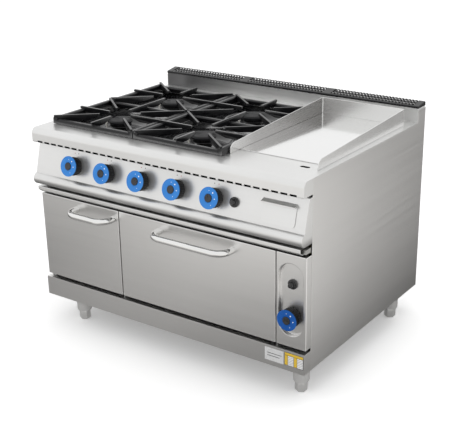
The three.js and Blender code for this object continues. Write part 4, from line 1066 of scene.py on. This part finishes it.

# ------------------------------------------------------------------ burners
# A cast body rises through each bowl. Gas leaves through a ring of ports under a loose cap.
# A spark pin in a white sleeve stands beside it.

# The light grey on the edges of the cast iron is a painted highlight on its ribs and rims.
cast_iron = coated("cast_iron", (0.007, 0.007, 0.008), (0.003, 0.003, 0.004), 0.32, 420, 0.30,
                   coat=0.15, wear_and_sheen_tint=(0.26, 0.26, 0.26), shine=0.3)
cap_enamel = coated("cap_enamel", (0.006, 0.006, 0.007), (0.003, 0.003, 0.004), 0.42, 420, 0.12,
                    wear_and_sheen_tint=(0.03, 0.03, 0.032), shine=0.16)
port_depth = 0.93  # share of the burner radius at which a port ends
ceramic = coated("ceramic", (0.82, 0.80, 0.76), (0.70, 0.68, 0.63), 0.35, 500, 0.05)
for i in range(1, 5):
    low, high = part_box(f"burner_body_{i}")
    cap_low, cap_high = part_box(f"burner_cap_{i}")
    centre = Vector(((low.x + high.x) / 2, (low.y + high.y) / 2, 0))
    top = high.z - low.z
    bm = bmesh.new()
    spun(bm, [(0.0, 0.0), (0.021, 0.0), (0.0225, 0.0015), (0.0262, 0.034), (0.0268, top - 0.021),
              (0.040, top - 0.0145), (0.0418, top - 0.0130), (0.0418, top - 0.0120),
              (0.0410, top - 0.0110), (0.0410, top - 0.0030), (0.0418, top - 0.0020),
              (0.0418, top - 0.0006), (0.0410, top), (0.0, top)], 96)
    band = [face for face in bm.faces if abs(face.calc_center_median().z - (top - 0.0070)) < 0.002
            and hypot(*face.calc_center_median().xy) > 0.038]
    band.sort(key=lambda face: atan2(face.calc_center_median().y, face.calc_center_median().x))
    port_faces = band[::2]
    bmesh.ops.inset_individual(bm, faces=port_faces, thickness=0.0003)
    for face in port_faces:
        for vert in face.verts:
            vert.co.xy *= port_depth
    bmesh.ops.recalc_face_normals(bm, faces=bm.faces)
    stood(bm, centre + Vector((0, 0, low.z)), (0, 0, 1))
    burner = closed_piece(f"burner_body_{i}_cast", bm, cast_iron)
    settle(burner, 30)
    stand_for(burner, f"burner_body_{i}")
    bm = bmesh.new()
    thick = cap_high.z - cap_low.z
    rim = (cap_high.x - cap_low.x) / 2
    spun(bm, [(0.0, 0.0), (rim - 0.0008, 0.0), (rim, 0.0008), (rim, 0.0048), (rim - 0.0012, 0.0064),
              (0.0385, 0.0092), (0.0355, 0.0102), (0.028, 0.0104), (0.026, 0.0108),
              (0.0, thick)], 64)
    bmesh.ops.recalc_face_normals(bm, faces=bm.faces)
    stood(bm, centre + Vector((0, 0, cap_low.z)), (0, 0, 1))
    cap = closed_piece(f"burner_cap_{i}_enamelled", bm, cap_enamel)
    settle(cap, 30)
    stand_for(cap, f"burner_cap_{i}")
    bm = bmesh.new()
    pin_place = centre + Vector((-0.0530, -0.0215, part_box("burner_pan_left")[0].z + pan_sheet))
    spun(bm, [(0.0, 0.0), (0.0046, 0.0), (0.0046, 0.026), (0.0038, 0.029), (0.0, 0.029)], 20)
    spun(bm, [(0.0, 0.028), (0.0026, 0.028), (0.0030, 0.033), (0.0040, 0.036), (0.0034, 0.0395),
              (0.0, 0.0410)], 16, 1)
    bmesh.ops.recalc_face_normals(bm, faces=bm.faces)
    stood(bm, pin_place, (0, 0, 1))
    pin = closed_piece(f"spark_pin_{i}", bm, ceramic)
    pin.data.materials.append(polished_steel)
    settle(pin, 35)
    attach(pin, body)

# ------------------------------------------------------------------ pan supports
# Two heavy cast grates. Ribs stand on the frame and taper to thin tips round each burner.

for node in ("grate_left", "grate_right"):
    softened(node, cast_iron, 0.0016, 3)

# ------------------------------------------------------------------ griddle
# A ground and polished steel plate in an opening of the top, with a welded splash guard of
# thick sheet round its back and sides.

plate_steel = metal("plate_steel", (0.86, 0.86, 0.855), (0.83, 0.83, 0.825), 0.10, "y", 0.01)
softened("griddle_plate", plate_steel, 0.0007, 3)

guard_sheet = 0.003


def guard_outline():
    rear, top = guard_high.y, guard_high.z
    shoulder = deck_top + 0.036
    fillet = arc(guard_low.y + 0.030, shoulder - 0.030, 0.030, 180, 98, 12)
    return [(guard_low.y, guard_low.z), (rear, guard_low.z), (rear, top)] + fillet[::-1]


bm = bmesh.new()
drawn(bm, guard_outline(), guard_low.x, guard_high.x)
guard_steel = metal("guard_steel", (0.82, 0.82, 0.815), (0.77, 0.77, 0.76), 0.24, "x", 0.015, 0.85)
guard = closed_piece("griddle_guard", bm, guard_steel)
bm = bmesh.new()
brick(bm, (guard_low.x + guard_sheet, guard_low.y - 0.01, guard_low.z - 0.01),
      (guard_high.x - guard_sheet, guard_high.y - guard_sheet, guard_high.z + 0.01))
upright_corners = [edge for edge in bm.edges
                   if abs((edge.verts[0].co - edge.verts[1].co).z) > 0.01
                   and edge.verts[0].co.y > 0]
bmesh.ops.bevel(bm, geom=upright_corners, offset=0.004, segments=4, profile=0.5, affect="EDGES",
                material=-1)
shape_with(guard, bm)
round_edges(guard, 0.0006, 2, 35)
# The wall beside the burners has a painted reflection of the grates: its colour darkens towards the back.
burner_side_painted_reflection = shaded_along(
    metal("burner_side_painted_reflection", (0.78, 0.775, 0.77), (0.75, 0.745, 0.74), 0.26, "y", 0.008), "Y",
    ((guard_low.y, (0.95, 0.95, 0.945)), (guard_low.y + 0.15, (0.60, 0.595, 0.59)),
     (guard_high.y, (0.28, 0.275, 0.27))))
guard.data.materials.append(burner_side_painted_reflection)
# The inner face of the left wall takes the painted reflection.
for face in guard.data.polygons:
    if face.normal.x > 0.9 and face.center.x < guard_low.x + 2 * guard_sheet:
        face.material_index = 1
stand_for(guard, "griddle_splash_guard")

# ------------------------------------------------------------------ flue grille
# A black enamelled hood, pushed over the top of the riser. Three groups of vents are punched through its
# top and its rear edge. The riser's inner walls behind them are painted black as shade.

hood_low, hood_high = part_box("flue_grille")
hood_front, hood_rear = hood_low.y, hood_high.y
hood_sheet = 0.0016
hood_rise = 0.005  # the hood sits on the folded edge of the riser


def hood_outline(inset):
    low, high = hood_low.z + hood_rise, hood_high.z
    front, rear = hood_front + inset, hood_rear - inset
    return [(front, low), (front, low + 0.0065), (hood_front + 0.0020, low + 0.0085 - inset),
            (hood_front + 0.0055, low + 0.0095 - inset), (hood_rear - 0.010, high - inset),
            (hood_rear - 0.004, high - 0.0010 - inset), (rear, high - 0.0050), (rear, low)]


bm = bmesh.new()
drawn(bm, hood_outline(0), hood_low.x, hood_high.x)
hood_enamel = coated("hood_enamel", (0.006, 0.006, 0.007), (0.003, 0.003, 0.004), 0.24, 260, 0.05,
                     coat=0.1, wear_and_sheen_tint=(0.02, 0.02, 0.022), shine=0.35)
hood = closed_piece("flue_hood", bm, hood_enamel)
round_edges(hood, 0.0022, 3, 50)
bm = bmesh.new()
hollow = hood_outline(hood_sheet)
hollow[0] = (hollow[0][0], hood_low.z)
hollow[-1] = (hollow[-1][0], hood_low.z)
drawn(bm, hollow, hood_low.x + hood_sheet, hood_high.x - hood_sheet)
shape_with(hood, bm)
bm = bmesh.new()
vent_pitch, vent_width, vents_in_group, vent_groups, vent_margin = 0.014, 0.0078, 26, 3, 0.024
group_width = (vents_in_group - 1) * vent_pitch + vent_width
group_gap = ((hood_high.x - hood_low.x) - 2 * vent_margin - vent_groups * group_width) / 2
for group in range(vent_groups):
    for i in range(vents_in_group):
        left = hood_low.x + vent_margin + group * (group_width + group_gap) + i * vent_pitch
        brick(bm, (left, hood_front + 0.0075, hood_low.z + hood_rise + 0.0075),
              (left + vent_width, hood_rear + 0.001, hood_high.z + 0.001))
shape_with(hood, bm)
stand_for(hood, "flue_grille")

riser = bpy.data.objects["flue_riser_finished"]
riser_low, riser_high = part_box("flue_riser")
for vert in riser.data.vertices:
    if vert.co.z > riser_high.z - 0.002:
        vert.co.z += hood_rise
# The inner walls of the riser behind the vents are painted black as shade.
riser.data.materials.append(painted_shade_black)
for face in riser.data.polygons:
    place = face.center
    inside = riser_low.x + 0.001 < place.x < riser_high.x - 0.001 \
        and riser_low.y + 0.001 < place.y < riser_high.y - 0.001
    if inside and abs(face.normal.z) < 0.5:
        face.material_index = 1

# ------------------------------------------------------------------ inside
# Pieces behind the doors and under the top keep their shape and get their own finish.

wool = coated("mineral_wool", (0.74, 0.68, 0.52), (0.60, 0.54, 0.38), 0.95, 240, 0.9)
rope = coated("seal_rope", (0.16, 0.16, 0.165), (0.09, 0.09, 0.095), 0.9, 900, 0.9)
pipe_paint = coated("pipe_steel", (0.52, 0.54, 0.55), (0.40, 0.42, 0.43), 0.34, 300, 0.08,
                    metallic=0.85, wear_and_sheen_tint=(0.7, 0.7, 0.7))
for node, paint in (
        ("cabinet_box", inner_steel), ("oven_liner", inner_steel), ("oven_sole_plate", inner_steel),
        ("cabinet_hinge_rod", inner_steel), ("oven_hinge_rod", inner_steel),
        ("oven_insulation", wool), ("oven_burner", pipe_paint), ("gas_rail", pipe_paint),
        ("gas_supply_pipe", pipe_paint), ("griddle_burner", pipe_paint)):
    mesh = nodes[node].data
    mesh.materials.clear()
    mesh.materials.append(paint)
softened("oven_rack", polished_steel, 0.0012, 3)
softened("oven_door_gasket", rope, 0.0014, 3)

# ------------------------------------------------------------------ plates on the kick plate
# Two small rating plates, held by adhesive at the right end. They carry plain bars and fields.

plate_grey = coated("plate_grey", (0.50, 0.50, 0.50), (0.44, 0.44, 0.44), 0.55, 600, 0.04)
plate_yellow = coated("plate_yellow", (0.58, 0.38, 0.015), (0.52, 0.33, 0.010), 0.5, 600, 0.04)
plate_ink = coated("plate_ink", (0.035, 0.035, 0.04), (0.02, 0.02, 0.022), 0.5, 600, 0.04)
plate_white = coated("plate_white", (0.64, 0.64, 0.64), (0.56, 0.56, 0.56), 0.5, 600, 0.04)
kick_low, kick_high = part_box("kick_plate")
kick_face = kick_low.y


def field(bm, low, high, level, material):
    before = set(bm.faces)
    brick(bm, (low[0], kick_face - level, low[1]), (high[0], kick_face - level + 0.00025, high[1]))
    for face in set(bm.faces) - before:
        face.material_index = material


bm = bmesh.new()
notice_left, notice_low = kick_high.x - 0.158, kick_low.z + 0.019
field(bm, (notice_left, notice_low), (notice_left + 0.076, notice_low + 0.049), 0.0003, 0)
for row, length in ((0.028, 0.058), (0.018, 0.050)):
    field(bm, (notice_left + 0.010, notice_low + row),
          (notice_left + 0.010 + length, notice_low + row + 0.0022), 0.0004, 1)
rating_left, rating_low = kick_high.x - 0.078, kick_low.z + 0.021
rating_width, rating_height = 0.075, 0.049
field(bm, (rating_left, rating_low), (rating_left + rating_width, rating_low + rating_height), 0.0003, 1)
field(bm, (rating_left + 0.0012, rating_low + 0.0385),
      (rating_left + rating_width - 0.0012, rating_low + rating_height - 0.0012), 0.0004, 2)
for column in (0, 1):
    left = rating_left + 0.0012 + column * 0.0368
    field(bm, (left, rating_low + 0.0012), (left + 0.0115, rating_low + 0.0372), 0.0004, 2)
    for row in range(6):
        bottom = rating_low + 0.0012 + row * 0.0061
        field(bm, (left + 0.0127, bottom), (left + 0.0350, bottom + 0.0050), 0.0004, 3)
plates = closed_piece("rating_plates", bm, plate_grey)
for paint in (plate_ink, plate_yellow, plate_white):
    plates.data.materials.append(paint)
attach(plates, body)
